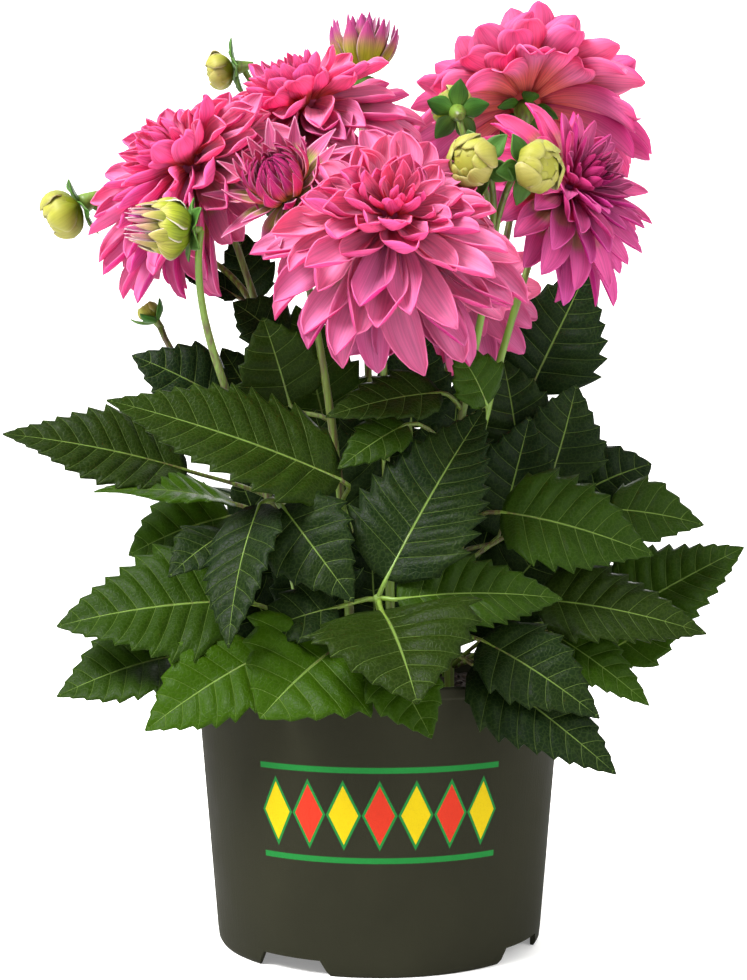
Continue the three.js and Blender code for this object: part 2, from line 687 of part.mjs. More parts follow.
    leaves: [
      leaf([-66, 35, 333], [-77, 40, 372], 30, [-0.2, -0.95, 0.2], 6),
      leaf([-50, 28, 176], [-76, 30, 240], 50, [-0.1, -0.95, 0.3], 6),
      leaf([-61, 26, 268], [-84, 27, 306], 36, [-0.1, -0.95, 0.3], 6),
      leaf([-48, 12, 150], [-78, 12, 186], 44, [-0.1, -0.92, 0.35], 6),
      outward(134, 80, 220, 84, 52, 2),
      outward(156, 92, 188, 76, 48, -14),
      outward(128, 88, 158, 66, 44, -26),
      outward(146, 66, 282, 66, 42, 16),
      outward(172, 96, 160, 60, 40, -24),
    ],
  },
];

// The curve of a stem, from where it leaves the soil or another stem to the cup under its head.
function stemCurve(from, leaving, head) {
  const axis = vec(...head.axis).normalize();
  const neck = vec(...head.at).addScaledVector(axis, CUP_TOP - 4);
  const reach = from.distanceTo(neck);
  const lower = from.clone().addScaledVector(leaving, 0.42 * reach);
  const bent = head.handle && vec(...head.handle);
  const under = neck.clone().addScaledVector(axis, -0.1 * reach - 8).addScaledVector(UP, -0.16 * reach);
  return new THREE.CubicBezierCurve3(from, lower, bent || under, neck);
}

// Where a leaf's stalk leaves its stem: low enough for the stalk to rise towards the blade.
function stalkStart(stem, row) {
  const base = vec(...row.base);
  let start = stem.getPoint(0.12);
  for (let u = 0.12; u < 0.94; u += 0.01) {
    const point = stem.getPoint(u);
    if (point.z <= base.z - 0.4 * Math.hypot(base.x - point.x, base.y - point.y)) start = point;
  }
  return start;
}

// The curve of a stalk, which runs into the blade along its midrib.
function stalkCurve(start, base, along) {
  const reach = start.distanceTo(base);
  const lower = start.clone().lerp(base, 0.3).addScaledVector(UP, 0.14 * reach);
  return new THREE.CubicBezierCurve3(start, lower, base.clone().addScaledVector(along, -0.3 * reach), base);
}

// The stalk of a leaf and its blade in one skin. The blade is folded along its arched midrib, and its
// toothed edges wave.
function leafSolid(row, start) {
  const face = vec(...row.face).normalize();
  const [base, tip] = [vec(...row.base), vec(...row.tip)];
  const control = base.clone().lerp(tip, 0.45).addScaledVector(face, row.arch);
  const rib = new THREE.QuadraticBezierCurve3(base, control, tip);
  const skin = new Skin();
  const loop = addStalk(skin, stalkCurve(start, base, rib.getTangent(0)), rib.getTangent(0), face);
  const fold = radians(LEAF_FOLD);
  const frameAt = (u) => {
    const along = rib.getTangent(u);
    const across = vec().crossVectors(along, face).normalize();
    return { centre: rib.getPoint(u), across, normal: vec().crossVectors(across, along) };
  };
  const edgePoint = (u, side, reach) => {
    const { centre, across, normal } = frameAt(u);
    const wide = (row.width / 2) * leafOutline(u) * reach;
    const wave = 0.05 * row.width * Math.sin(9 * u + 2 * side + row.base[0]);
    centre.addScaledVector(across, side * wide * Math.cos(fold));
    return skin.add(centre.addScaledVector(normal, wide * Math.sin(fold) + wave * leafOutline(u)));
  };
  const tipPoint = [1, skin.add(tip)];
  const teeth = leafTeeth(base.distanceTo(tip));
  const edges = [1, -1].map((side) => teeth.map(([u, reach]) => [u, edgePoint(u, side, reach)]));
  for (const half of [1, -1]) {
    const middle = [0.22, 0.46, 0.72].map((u) => {
      const { centre, normal } = frameAt(u);
      return [u, skin.add(centre.addScaledVector(normal, (half * LEAF_THICKNESS) / 2))];
    });
    const ribRow = [[0, loop[half > 0 ? 3 : 1][1]], ...middle, tipPoint];
    skin.strip(ribRow, [[0, loop[0][1]], ...edges[0], tipPoint], half > 0);
    skin.strip(ribRow, [[0, loop[2][1]], ...edges[1], tipPoint], half < 0);
  }
  return skin.solid();
}

// Half the width of a blade at a share of its length, as a share of its greatest half width.
const leafOutline = (u) => Math.sin(Math.PI * u ** 0.62) ** 0.9;

// The teeth of one edge of a leaf, as shares of its length and of its width at that place.
function leafTeeth(length) {
  const teeth = Math.max(4, Math.min(6, Math.round(length / 20)));
  const pitch = 0.9 / teeth;
  const edge = [[0.06, 1]];
  for (let k = 0; k < teeth; k++) {
    edge.push([0.06 + (k + 0.76) * pitch, 1.06]);
    if (k + 1 < teeth) edge.push([0.06 + (k + 1) * pitch, 0.84]);
  }
  return edge;
}

// Adds the four-sided stalk of a leaf, and returns its last loop: right, bottom, left and top.
function addStalk(skin, curve, along, face) {
  const steps = 2;
  const across = vec().crossVectors(along, face).normalize();
  const rings = [];
  for (let i = steps; i >= 0; i--) {
    const tangent = i === steps ? along : curve.getTangent(i / steps);
    across.addScaledVector(tangent, -across.dot(tangent)).normalize();
    const normal = vec().crossVectors(across, tangent);
    const centre = curve.getPoint(i / steps);
    const radius = STALK_RADIUS * (i === steps ? 0.8 : 1);
    const around = [across, normal.clone().negate(), across.clone().negate(), normal];
    rings.unshift(around.map((way, k) => [90 * k, skin.add(centre.clone().addScaledVector(way, radius))]));
  }
  skin.lid(rings[0], true);
  for (let i = 0; i < steps; i++) skin.band(rings[i], rings[i + 1]);
  return rings[steps];
}

// The main stem of a shoot, which starts straight down in the soil.
function mainStem(shoot) {
  const foot = vec(...shoot.root, SOIL_TOP);
  const path = new THREE.CurvePath();
  path.add(new THREE.LineCurve3(vec(...shoot.root, SOIL_TOP - HOLE_DEPTH + GAP), foot));
  path.add(stemCurve(foot, UP, HEADS[shoot.heads[0].head]));
  return path;
}

function shootSolid(shoot, seed) {
  const stem = mainStem(shoot);
  const solids = [tube(stem, STEM_RADIUS, NECK_RADIUS, 7, 5)];
  for (const { head: name, from } of shoot.heads) {
    const head = HEADS[name];
    if (from) {
      const side = stemCurve(stem.getPoint(from), stem.getTangent(from), head);
      solids.push(tube(side, NECK_RADIUS, NECK_RADIUS, 4, 5));
    }
    solids.push(cupSolid(head, seed));
  }
  for (const row of shoot.leaves) solids.push(leafSolid(row, stalkStart(stem, row)));
  for (const { from, node, leaves } of shoot.twigs ?? []) {
    const [start, end] = [stem.getPoint(from), vec(...node)];
    const middle = start.clone().lerp(end, 0.6).addScaledVector(UP, -0.1 * start.distanceTo(end));
    const twig = new THREE.QuadraticBezierCurve3(start, middle, end);
    solids.push(tube(twig, NECK_RADIUS, NECK_RADIUS, 3, 5));
    for (const row of leaves) solids.push(leafSolid(row, twig.getPoint(0.97)));
  }
  return joined(solids);
}

const plant = new THREE.Group();
plant.add(meshOf('pot', potSolid(), PLASTIC));
plant.add(meshOf('soil', soilSolid(), SOIL));
SHOOTS.forEach((shoot, i) => plant.add(meshOf(shoot.name, shootSolid(shoot, i), GREEN)));
Object.entries(HEADS).forEach(([name, head], i) => plant.add(meshOf(name, headSolid(head, i), head.look)));

export default plant;
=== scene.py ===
"""A potted dahlia, dressed for the studio: leafy shoots, double blooms and buds in a moulded nursery pot.

Sizes are in millimetres and angles in degrees until a mesh is finished, which turns it to metres. +Z is up,
-Y faces the viewer, and the origin is the centre of the pot's foot.
"""

import logging
import math
from collections.abc import Callable, Iterable, Sequence
from dataclasses import dataclass, field, replace
from enum import Enum

import bmesh
import bpy
from mathutils import Matrix, Vector, noise

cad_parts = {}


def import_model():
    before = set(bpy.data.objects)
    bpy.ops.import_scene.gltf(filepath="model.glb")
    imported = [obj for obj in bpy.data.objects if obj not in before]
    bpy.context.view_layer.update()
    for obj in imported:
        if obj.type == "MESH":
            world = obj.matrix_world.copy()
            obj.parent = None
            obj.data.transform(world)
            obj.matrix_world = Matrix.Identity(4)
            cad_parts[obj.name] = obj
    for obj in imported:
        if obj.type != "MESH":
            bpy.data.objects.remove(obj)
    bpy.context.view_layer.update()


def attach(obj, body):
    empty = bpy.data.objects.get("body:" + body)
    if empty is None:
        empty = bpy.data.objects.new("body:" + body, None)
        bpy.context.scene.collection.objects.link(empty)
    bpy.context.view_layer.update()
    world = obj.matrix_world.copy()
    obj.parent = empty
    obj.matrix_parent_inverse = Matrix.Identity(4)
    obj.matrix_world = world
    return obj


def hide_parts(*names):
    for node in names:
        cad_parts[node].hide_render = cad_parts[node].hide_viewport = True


LOG = logging.getLogger("dahlia")
METRES = 0.001
UP = Vector((0, 0, 1))
GOLDEN_ANGLE = 137.508
TEETH_TO_ONE = 12
Triple = tuple[float, float, float]
Pair = tuple[float, float]
Mesh = bmesh.types.BMesh
Vert = bmesh.types.BMVert
Piece = bpy.types.Object
Tree = bpy.types.NodeTree
Socket = bpy.types.NodeSocket
Material = bpy.types.Material
Source = Socket | str | float

# Sizes that the frame's solids share
POT_HEIGHT = 138.0
POT_RIM_RADIUS = 94.0
POT_BASE_RADIUS = 83.3
POT_WALL = 1.8
LIP_REACH = 1.8
LIP_HEIGHT = 6.0
FOOT_HEIGHT = 8.0
FOOT_TUCK = 2.2
NOTCH_AZIMUTHS = (-121, -31, 59, 149)
GAP = 0.35
SOIL_TOP = POT_HEIGHT - 12
HOLE_DEPTH = 22.0
STEM_RADIUS = 2.7
NECK_RADIUS = 1.7
STALK_RADIUS = 1.25
LEAF_FOLD = 13.0
CUP_TOP = -1.75


def jitter(i: float, k: float) -> float:
    """A number from -0.5 to 0.5 that is always the same for the same two seeds."""
    wave = math.sin(i * 12.9898 + k * 78.233) * 43758.5453
    return wave - math.floor(wave) - 0.5


def lerp(a: float, b: float, share: float) -> float:
    """The value at a share of the way from a to b."""
    return a + (b - a) * share


def smooth(value: float, low: float, high: float) -> float:
    """A smooth rise from 0 at low to 1 at high."""
    share = min(1.0, max(0.0, (value - low) / (high - low)))
    return share * share * (3 - 2 * share)


def polar(azimuth: float, reach: float, height: float) -> Vector:
    """The point at an azimuth and a distance from the Z axis."""
    turn = math.radians(azimuth)
    return Vector((reach * math.cos(turn), reach * math.sin(turn), height))


def linear(code: str) -> tuple[float, float, float, float]:
    """An sRGB hex colour such as "#f26ca0" as linear RGBA."""
    parts = [int(code[i : i + 2], 16) / 255 for i in (1, 3, 5)]
    red, green, blue = (p / 12.92 if p <= 0.04045 else ((p + 0.055) / 1.055) ** 2.4 for p in parts)
    return red, green, blue, 1.0


# Finishes


def put(tree: Tree, kind: str, links: dict | None = None, **settings: object) -> bpy.types.Node:
    """Adds a node to a tree.

    Args:
        tree: The material's node tree.
        kind: The node's type name, such as "ShaderNodeMath".
        links: Sockets by name or number, each with a value or with the socket that feeds it.
        settings: The node's own properties.

    Returns:
        The new node.
    """
    made = tree.nodes.new(kind)
    for name, value in settings.items():
        setattr(made, name, value)
    for socket, value in (links or {}).items():
        if isinstance(value, Socket):
            tree.links.new(value, made.inputs[socket])
        else:
            made.inputs[socket].default_value = value
    return made


def maths(tree: Tree, operation: str, *values: Source) -> Socket:
    """The result of a Math node."""
    return put(tree, "ShaderNodeMath", dict(enumerate(values)), operation=operation).outputs[0]


def ramped(tree: Tree, value: Socket, span: Pair, to: Pair = (0.0, 1.0), eased: bool = False) -> Socket:
    """A value led from one span onto another, and held past its ends.

    Args:
        tree: The material's node tree.
        value: The value.
        span: Where the ramp starts and ends.
        to: What it gives at its start and at its end.
        eased: True for a ramp that starts and ends smoothly.

    Returns:
        The ramp's socket.
    """
    links = {"Value": value, "From Min": span[0], "From Max": span[1], "To Min": to[0], "To Max": to[1]}
    kind = "SMOOTHSTEP" if eased else "LINEAR"
    return put(tree, "ShaderNodeMapRange", links, interpolation_type=kind).outputs[0]


def mixed(tree: Tree, share: Source, first: Source, second: Source) -> Socket:
    """Two colours, each a socket or a hex code, mixed by the share of the second."""
    first, second = (linear(end) if isinstance(end, str) else end for end in (first, second))
    return put(tree, "ShaderNodeMix", {0: share, 6: first, 7: second}, data_type="RGBA").outputs[2]


def grain(tree: Tree, place: Socket, scale: float, detail: float) -> Socket:
    """Noise at a place, which stays about 0.5."""
    return put(tree, "ShaderNodeTexNoise", {"Vector": place, "Scale": scale, "Detail": detail}).outputs[0]


def stretched(tree: Tree, place: Socket, scale: Triple) -> Socket:
    """A place, scaled along each axis."""
    return put(tree, "ShaderNodeMapping", {0: place, "Scale": scale}).outputs[0]


def attribute(tree: Tree, name: str) -> Socket:
    """A number that the mesh carries."""
    return put(tree, "ShaderNodeAttribute", attribute_name=name).outputs["Fac"]


def object_place(tree: Tree) -> Socket:
    """The place in the part's own frame, in metres."""
    return put(tree, "ShaderNodeTexCoord").outputs["Object"]


def blade_place(tree: Tree) -> tuple[Socket, Socket, Socket]:
    """The place on a blade's map, how far it is from the middle, up to 0.5, and how far along."""
    uv = put(tree, "ShaderNodeUVMap", uv_map="blade").outputs[0]
    parts = put(tree, "ShaderNodeSeparateXYZ", {0: uv}).outputs
    side = maths(tree, "ABSOLUTE", maths(tree, "SUBTRACT", parts["X"], 0.5))
    return uv, side, parts["Y"]


def relief(tree: Tree, height: Socket, strength: float, depth: float, invert: bool = False) -> Socket:
    """The surface's relief, whose depth is in metres."""
    links = {"Height": height, "Strength": strength, "Distance": depth}
    return put(tree, "ShaderNodeBump", links, invert=invert).outputs[0]


def new_material(name: str) -> tuple[Material, Tree]:
    """An empty node material and its tree."""
    made = bpy.data.materials.new(name)
    made.use_nodes = True
    made.node_tree.nodes.clear()
    return made, made.node_tree


@dataclass(frozen=True)
class Shine:
    """How a surface shines: its roughness, its index of refraction and its specular level."""

    roughness: float
    ior: float
    level: float = 0.5

    def coat(self, tree: Tree, colour: Socket, bump: Socket, rough: Socket | None = None) -> Socket:
        """The shader of an opaque surface.

        Args:
            tree: The material's node tree.
            colour: The surface's colour.
            bump: Its relief.
            rough: Its roughness, where that isn't the same all over.

        Returns:
            The shader's socket.
        """
        links = {
            "Base Color": colour,
            "Normal": bump,
            "Roughness": self.roughness if rough is None else rough,
            "IOR": self.ior,
            "Specular IOR Level": self.level,
        }
        return put(tree, "ShaderNodeBsdfPrincipled", links).outputs[0]


def let_light_through(tree: Tree, body: Socket, colour: Socket, bump: Socket, share: float) -> Socket:
    """Thin tissue's shader, of which a share lets light through in a colour of its own."""
    through = put(tree, "ShaderNodeBsdfTranslucent", {"Color": colour, "Normal": bump}).outputs[0]
    return put(tree, "ShaderNodeMixShader", {0: share, 1: body, 2: through}).outputs[0]


@dataclass(frozen=True)
class PetalFinish:
    """Living petal tissue: satin, finely grooved along its length, and lit through from behind.

    The root, the blade and the heart colour run into each other, and a thin pale rim catches the light.
    A pair says where a change starts and ends: along the petal, across it, or in its age or its tone.
    """

    name: str
    root: str
    blade: str
    tip: str
    heart: str
    rim: str
    claw: str = "#a4b02a"
    root_end: float = 0.3
    heart_from: float = 0.4
    rim_width: float = 0.03
    rim_depth: float = 0.28
    glow: float = 0.5
    streaks: float = 0.16
    margin: float = 0.24
    claw_fades: Pair = (0.3, 0.48)
    claw_ages: Pair = (0.12, 0.4)
    tip_fades: Pair = (0.6, 1.0)
    tip_depth: float = 0.6
    hanging_shade: Pair = (0.5, -0.1)
    margin_fades: Pair = (0.06, 0.46)
    grooves: Triple = (26.0, 1.6, 1.0)
    groove_depth: float = 0.0006
    shine: Shine = Shine(0.52, 1.4, 0.25)

    def clear_of_root(self, tree: Tree, along: Socket, age: Socket, under: bool) -> Socket:
        """How clear of the root's colour a place is.

        Args:
            tree: The material's node tree.
            along: The place along the petal.
            age: The petal's age.
            under: True for the outer side.

        Returns:
            A socket that runs from 0 at the root to 1 on the blade.
        """
        if not under:
            return ramped(tree, along, (self.root_end - 0.2, self.root_end + 0.28), eased=True)
        # Only the outer petals have a yellow-green claw beneath.
        clear = ramped(tree, along, self.claw_fades, eased=True)
        return maths(tree, "MAXIMUM", clear, ramped(tree, age, self.claw_ages))

    def material(self, under: bool) -> Material:
        """Builds the material of one side of the petals.

        Args:
            under: True for the outer side, which is duller and paler than the inner one.

        Returns:
            The material.
        """
        made, tree = new_material(self.name + ("_underside" if under else ""))
        uv, side, along = blade_place(tree)
        age, tone = attribute(tree, "age"), attribute(tree, "tone")
        # Petals that hang down, out of the key light, get more of the deep colour of the tips: painted
        # shade.
        hung_shade = ramped(tree, tone, self.hanging_shade)
        tipped = ramped(tree, along, self.tip_fades, (0.0, self.tip_depth), eased=True)
        tipped = maths(tree, "MAXIMUM", tipped, maths(tree, "MULTIPLY", hung_shade, self.tip_depth))
        colour = mixed(tree, tipped, self.blade, self.tip)
        colour = mixed(tree, ramped(tree, age, (self.heart_from, 1.0)), colour, self.heart)
        # The root colour is partly the coral of the petals' bases and partly painted shade of the crowded
        # depths between them.
        clear = self.clear_of_root(tree, along, age, under)
        colour = mixed(tree, clear, self.claw if under else self.root, colour)
        # The margins are a deeper pink than the middle, up to the thin pale rim, and deeper still on
        # hanging petals as painted shade.
        margin = ramped(tree, side, self.margin_fades, eased=True)
        deep = maths(tree, "MULTIPLY_ADD", hung_shade, 0.5, self.margin)
        colour = mixed(tree, maths(tree, "MULTIPLY", margin, deep), colour, self.tip)
        rim = ramped(tree, side, (0.5 - self.rim_width / 2, 0.5), (0.0, self.rim_depth), eased=True)
        colour = mixed(tree, rim, colour, self.rim)
        # Grooves: about 24 across a petal, so half a millimetre each, much longer than wide.
        moved = {0: stretched(tree, uv, self.grooves), 1: tone}
        moved = put(tree, "ShaderNodeVectorMath", moved, operation="ADD").outputs[0]
        grooves = grain(tree, moved, 1.0, 2.0)
        shade = ramped(tree, grooves, (0.3, 0.7), (1 - self.streaks, 1 + self.streaks))
        # The tone varies at random from petal to petal and is lowered on hanging petals, so it also darkens
        # and deepens them as painted shade.
        links = {
            "Hue": maths(tree, "MULTIPLY_ADD", tone, 0.024, 0.488),
            "Saturation": 0.94 if under else 1.0,
            "Value": maths(tree, "MULTIPLY", shade, ramped(tree, tone, (0.0, 1.0), (0.9, 1.08))),
            "Color": colour,
        }
        colour = put(tree, "ShaderNodeHueSaturation", links).outputs[0]
        if under:
            colour = mixed(tree, 0.12, colour, self.rim)
        bump = relief(tree, grooves, 0.35, self.groove_depth)
        body = self.shine.coat(tree, colour, bump)
        # Light that has come through the tissue has met its pigment twice.
        steeped = put(tree, "ShaderNodeGamma", {"Color": colour, "Gamma": 1.35}).outputs[0]
        tissue = let_light_through(tree, body, steeped, bump, self.glow)
        put(tree, "ShaderNodeOutputMaterial", {0: tissue})
        return made


@dataclass(frozen=True)
class LeafFinish:
    """A dahlia's leaf: satin above, dull and paler beneath, with pale ribs and a fine net of veins."""

    name: str = "dahlia_leaf"
    deep: str = "#0c1908"
    olive: str = "#172404"
    middle: str = "#1a2c04"
    fresh: str = "#243c02"
    rib: str = "#6e8740"
    down: str = "#6a7c51"
    midrib: Pair = (0.004, 0.014)
    rib_width: Pair = (0.034, 0.014)
    net_cell: float = 2.2
    upper: Shine = Shine(0.4, 1.3, 0.1)
    lower: Shine = Shine(0.6, 1.3, 0.1)

    def ramp(self, tree: Tree, shade: Socket) -> Socket:
        """The green at a shade from 0, the deepest, to 1, the freshest."""
        made = put(tree, "ShaderNodeValToRGB", {0: shade})
        stops = made.color_ramp.elements
        stops[0].position, stops[0].color = 0.0, linear(self.deep)
        stops[1].position, stops[1].color = 1.0, linear(self.fresh)
        for position, code in ((0.3, self.olive), (0.6, self.middle)):
            stops.new(position).color = linear(code)
        return made.outputs[0]

    def material(self, under: bool) -> Material:
        """Builds the material of one side of the leaves.

        Args:
            under: True for the lower side.

        Returns:
            The material.
        """
        made, tree = new_material(self.name + ("_underside" if under else ""))
        _, side, along = blade_place(tree)
        midrib = ramped(tree, side, self.midrib, (1.0, 0.0), eased=True)
        # The map's height counts teeth, twelve to one, and a side rib runs out to each tooth's tip.
        teeth = maths(tree, "MULTIPLY_ADD", along, TEETH_TO_ONE, 0.24)
        near = maths(tree, "PINGPONG", maths(tree, "FRACT", teeth), 0.5)
        width = ramped(tree, side, (0.0, 0.5), self.rib_width)
        ribs = ramped(tree, maths(tree, "DIVIDE", near, width), (0.2, 1.0), (0.62, 0.0), eased=True)
        place = object_place(tree)
        links = {"Vector": place, "Scale": 1000 / self.net_cell}
        net = put(tree, "ShaderNodeTexVoronoi", links, feature="DISTANCE_TO_EDGE").outputs[0]
        net = ramped(tree, net, (0.0, 0.12), (0.08, 0.0))
        mottle = grain(tree, place, 45.0, 2.0)
        shade = maths(tree, "MULTIPLY_ADD", mottle, 0.3, -0.15)
        green = self.ramp(tree, maths(tree, "ADD", attribute(tree, "tone"), shade))
        fine = maths(tree, "MAXIMUM", maths(tree, "MAXIMUM", midrib, ribs), net)
        colour = mixed(tree, maths(tree, "MULTIPLY", fine, 0.6), green, self.rib)
        if under:
            colour = mixed(tree, 0.35, colour, self.down)
        # The blade swells between its side ribs, and the net of small veins is sunk into it.
        swell = maths(tree, "POWER", near, 0.45)
        sunk = maths(tree, "MULTIPLY_ADD", net, 0.8, fine)
        height = maths(tree, "SUBTRACT", maths(tree, "MULTIPLY_ADD", mottle, 2.6, swell), sunk)
        bump = relief(tree, height, 0.6, 0.001, invert=under)
        body = (self.lower if under else self.upper).coat(tree, colour, bump)
        tissue = let_light_through(tree, body, colour, bump, 0.12)
        put(tree, "ShaderNodeOutputMaterial", {0: tissue})
        return made


@dataclass(frozen=True)
class StemFinish:
    """A dahlia's stem: smooth green skin with a purple-brown flush that comes and goes in long streaks."""

    name: str = "dahlia_stem"
    green: str = "#556e20"
    flush: str = "#443820"
    shine: Shine = Shine(0.45, 1.4)

    def material(self) -> Material:
        """Builds the material."""
        made, tree = new_material(self.name)
        place = object_place(tree)
        # Streaks: about 1.5 mm wide and 30 mm long.
        streaks = grain(tree, stretched(tree, place, (600.0, 600.0, 30.0)), 1.0, 3.0)
        flushed = maths(tree, "MULTIPLY", streaks, grain(tree, place, 14.0, 1.0))
        colour = mixed(tree, ramped(tree, flushed, (0.2, 0.36)), self.green, self.flush)
        body = self.shine.coat(tree, colour, relief(tree, streaks, 0.25, 0.0004))
        put(tree, "ShaderNodeOutputMaterial", {0: body})
        return made


@dataclass(frozen=True)
class MouldedPlastic:
    """Injection-moulded polypropylene: matt, nearly black, with a band of plain printed lozenges."""

    name: str = "moulded_polypropylene"
    body: str = "#1f1f16"
    dust: str = "#27271d"
    yellow: str = "#ab950f"
    red: str = "#a32b1b"
    green: str = "#19632b"
    band_middle: float = 78.0
    band_half: float = 17.0
    band_reach: float = 60.0
    lozenges: int = 7
    rail_height: float = 1.26
    shine: Shine = Shine(0.6, 1.3, 0.08)

    def print_mask(self, tree: Tree, place: Socket) -> tuple[Socket, Socket]:
        """Draws the printed band on the pot's front.

        Args:
            tree: The pot's node tree.
            place: The object coordinates, in metres.

        Returns:
            The socket of the print's colour, and the socket of its mask.
        """
        parts = put(tree, "ShaderNodeSeparateXYZ", {0: place}).outputs
        front = maths(tree, "MULTIPLY", parts["Y"], -1.0)
        turn = maths(tree, "ARCTAN2", parts["X"], front)
        # Arc lengths are measured at the band's own radius, and both they and heights run from -1 to 1.
        radius = lerp(POT_BASE_RADIUS, POT_RIM_RADIUS, self.band_middle / POT_HEIGHT)
        arc = maths(tree, "MULTIPLY", turn, radius / self.band_reach)
        middle = self.band_middle / self.band_half
        tall = maths(tree, "MULTIPLY_ADD", parts["Z"], 1000 / self.band_half, -middle)
        tall = maths(tree, "ABSOLUTE", tall)
        count = maths(tree, "MULTIPLY_ADD", arc, self.lozenges / 2, self.lozenges / 2)
        across = maths(tree, "MULTIPLY_ADD", maths(tree, "PINGPONG", count, 0.5), -2.0, 1.0)
        lozenge = maths(tree, "ADD", across, tall)
        inside = ramped(tree, lozenge, (0.8, 0.84), (1.0, 0.0))
        outline = ramped(tree, lozenge, (0.96, 1.0), (1.0, 0.0))
        odd = maths(tree, "GREATER_THAN", maths(tree, "MODULO", count, 2.0), 1.0)
        colour = mixed(tree, inside, self.green, mixed(tree, odd, self.yellow, self.red))
        rail = maths(tree, "ABSOLUTE", maths(tree, "SUBTRACT", tall, self.rail_height))
        mask = maths(tree, "MAXIMUM", outline, ramped(tree, rail, (0.07, 0.09), (1.0, 0.0)))
        wide = maths(tree, "LESS_THAN", maths(tree, "ABSOLUTE", arc), 1.0)
        facing = maths(tree, "GREATER_THAN", front, 0.0)
        return colour, maths(tree, "MULTIPLY", maths(tree, "MULTIPLY", mask, wide), facing)

    def material(self) -> Material:
        """Builds the material."""
        made, tree = new_material(self.name)
        place = object_place(tree)
        # Draw lines from the mould run up the wall, about 2 mm apart.
        lines = grain(tree, stretched(tree, place, (500.0, 500.0, 12.0)), 1.0, 2.0)
        # The grain is about 0.4 mm, drawn at 0.8 mm so that it shows.
        fine = grain(tree, place, 1250.0, 1.0)
        blotch = grain(tree, place, 24.0, 5.0)
        colour = mixed(tree, ramped(tree, blotch, (0.42, 0.78), (0.0, 0.5)), self.body, self.dust)
        ink, mask = self.print_mask(tree, place)
        worn = ramped(tree, fine, (0.2, 0.5), (0.86, 0.97))
        colour = mixed(tree, maths(tree, "MULTIPLY", mask, worn), colour, ink)
        bump = relief(tree, maths(tree, "ADD", lines, fine), 0.22, 0.0004)
        rough = ramped(tree, blotch, (0.3, 0.7), (self.shine.roughness, self.shine.roughness + 0.16))
        put(tree, "ShaderNodeOutputMaterial", {0: self.shine.coat(tree, colour, bump, rough)})
        return made


@dataclass(frozen=True)
class SoilFinish:
    """Moist potting soil and its bits of bark: dead matt, with crumbs of about 2 mm in several browns."""

    name: str = "potting_soil"
    dark: str = "#160e08"
    light: str = "#382618"
    shine: Shine = Shine(0.95, 1.35)

    def material(self) -> Material:
        """Builds the material."""
        made, tree = new_material(self.name)
        place = object_place(tree)
        crumbs = put(tree, "ShaderNodeTexVoronoi", {"Vector": place, "Scale": 450.0}).outputs["Distance"]
        part = maths(tree, "MULTIPLY", crumbs, grain(tree, place, 120.0, 5.0))
        colour = mixed(tree, part, self.dark, self.light)
        body = self.shine.coat(tree, colour, relief(tree, crumbs, 0.8, 0.002))
        put(tree, "ShaderNodeOutputMaterial", {0: body})
        return made


PINK_PETALS = PetalFinish(
    "pink_petals", root="#f0706a", blade="#e47eb2", tip="#d22a78", heart="#e05a9a", rim="#f6b8d6"
)
MAGENTA_PETALS = PetalFinish(
    "magenta_petals",
    root="#e45a8c",
    blade="#f25eb0",
    tip="#c61e80",
    heart="#86064c",
    rim="#f498c8",
    root_end=0.2,
    heart_from=0.28,
    margin=0.2,
)
YOUNG_PETALS = PetalFinish(
    "young_petals",
    root="#d69a3a",
    blade="#cf4488",
    tip="#b42072",
    heart="#96155a",
    rim="#ecb4d0",
    root_end=0.3,
    heart_from=0.2,
    rim_width=0.22,
    rim_depth=0.7,
    streaks=0.3,
    margin=0.1,
)
CUP_PETALS = PetalFinish(
    "cup_petals",
    root="#b0ae2c",
    blade="#b44a8a",
    tip="#962668",
    heart="#a03878",
    rim="#cfb0c0",
    root_end=0.46,
    rim_width=0.16,
    rim_depth=0.6,
    streaks=0.24,
)
STREAKED_PETALS = PetalFinish(
    "streaked_petals",
    root="#5d6c10",
    blade="#83871f",
    tip="#b4a06c",
    heart="#a8327e",
    rim="#dccad0",
    claw="#566610",
    root_end=0.5,
    heart_from=0.25,
    rim_width=0.14,
    rim_depth=0.6,
    streaks=0.3,
    glow=0.2,
    margin=0.05,
)
BUD_SCALES = PetalFinish(
    "bud_scales",
    root="#666e11",
    blade="#878530",
    tip="#969055",
    heart="#808029",
    rim="#b19f94",
    claw="#666e11",
    root_end=0.3,
    rim_width=0.12,
    glow=0.15,
    streaks=0.08,
    margin=0.3,
)
BRACTS = PetalFinish(
    "green_bracts",
    root="#446a1d",
    blade="#315a18",
    tip="#274b15",
    heart="#315a18",
    rim="#67863c",
    claw="#446a1d",
    root_end=0.2,
    glow=0.15,
    streaks=0.2,
)


# Mesh helpers


def blade_grid(bm: Mesh, across: int, along: int) -> list[tuple[Vert, Pair]]:
    """Adds a flat grid to bend into a petal or a leaf.

    Args:
        bm: The mesh that the grid goes into.
        across: Faces from edge to edge.
        along: Faces from root to tip.

    Returns:
        Each vertex with its place across, from -1 to 1, and its place along, from 0 to 1.
    """
    made = bmesh.ops.create_grid(bm, x_segments=across, y_segments=along, size=1)["verts"]
    return [(vert, (vert.co.x, (vert.co.y + 1) / 2)) for vert in made]


def map_blade(bm: Mesh, spots: Iterable[tuple[Vert, Pair]], **values: float) -> None:
    """Writes a bent grid's map and its attributes, and shades it smooth.

    Args:
        bm: The mesh.
        spots: Each vertex with its place on the map.
        values: Attribute names, each with the value that the whole blade gets.
    """
    uv = bm.loops.layers.uv.verify()
    where = dict(spots)
    layers = [(bm.verts.layers.float.get(name), value) for name, value in values.items()]
    faces = set()
    for vert in where:
        for layer, value in layers:
            vert[layer] = value
        faces.update(vert.link_faces)
    for face in faces:
        face.smooth = True
        for loop in face.loops:
            u, v = where[loop.vert]
            loop[uv].uv = ((u + 1) / 2, v)


def new_blades() -> Mesh:
    """An empty mesh with the map and the attributes that blades use."""
    bm = bmesh.new()
    bm.loops.layers.uv.new("blade")
    for name in ("age", "tone"):
        bm.verts.layers.float.new(name)
    return bm


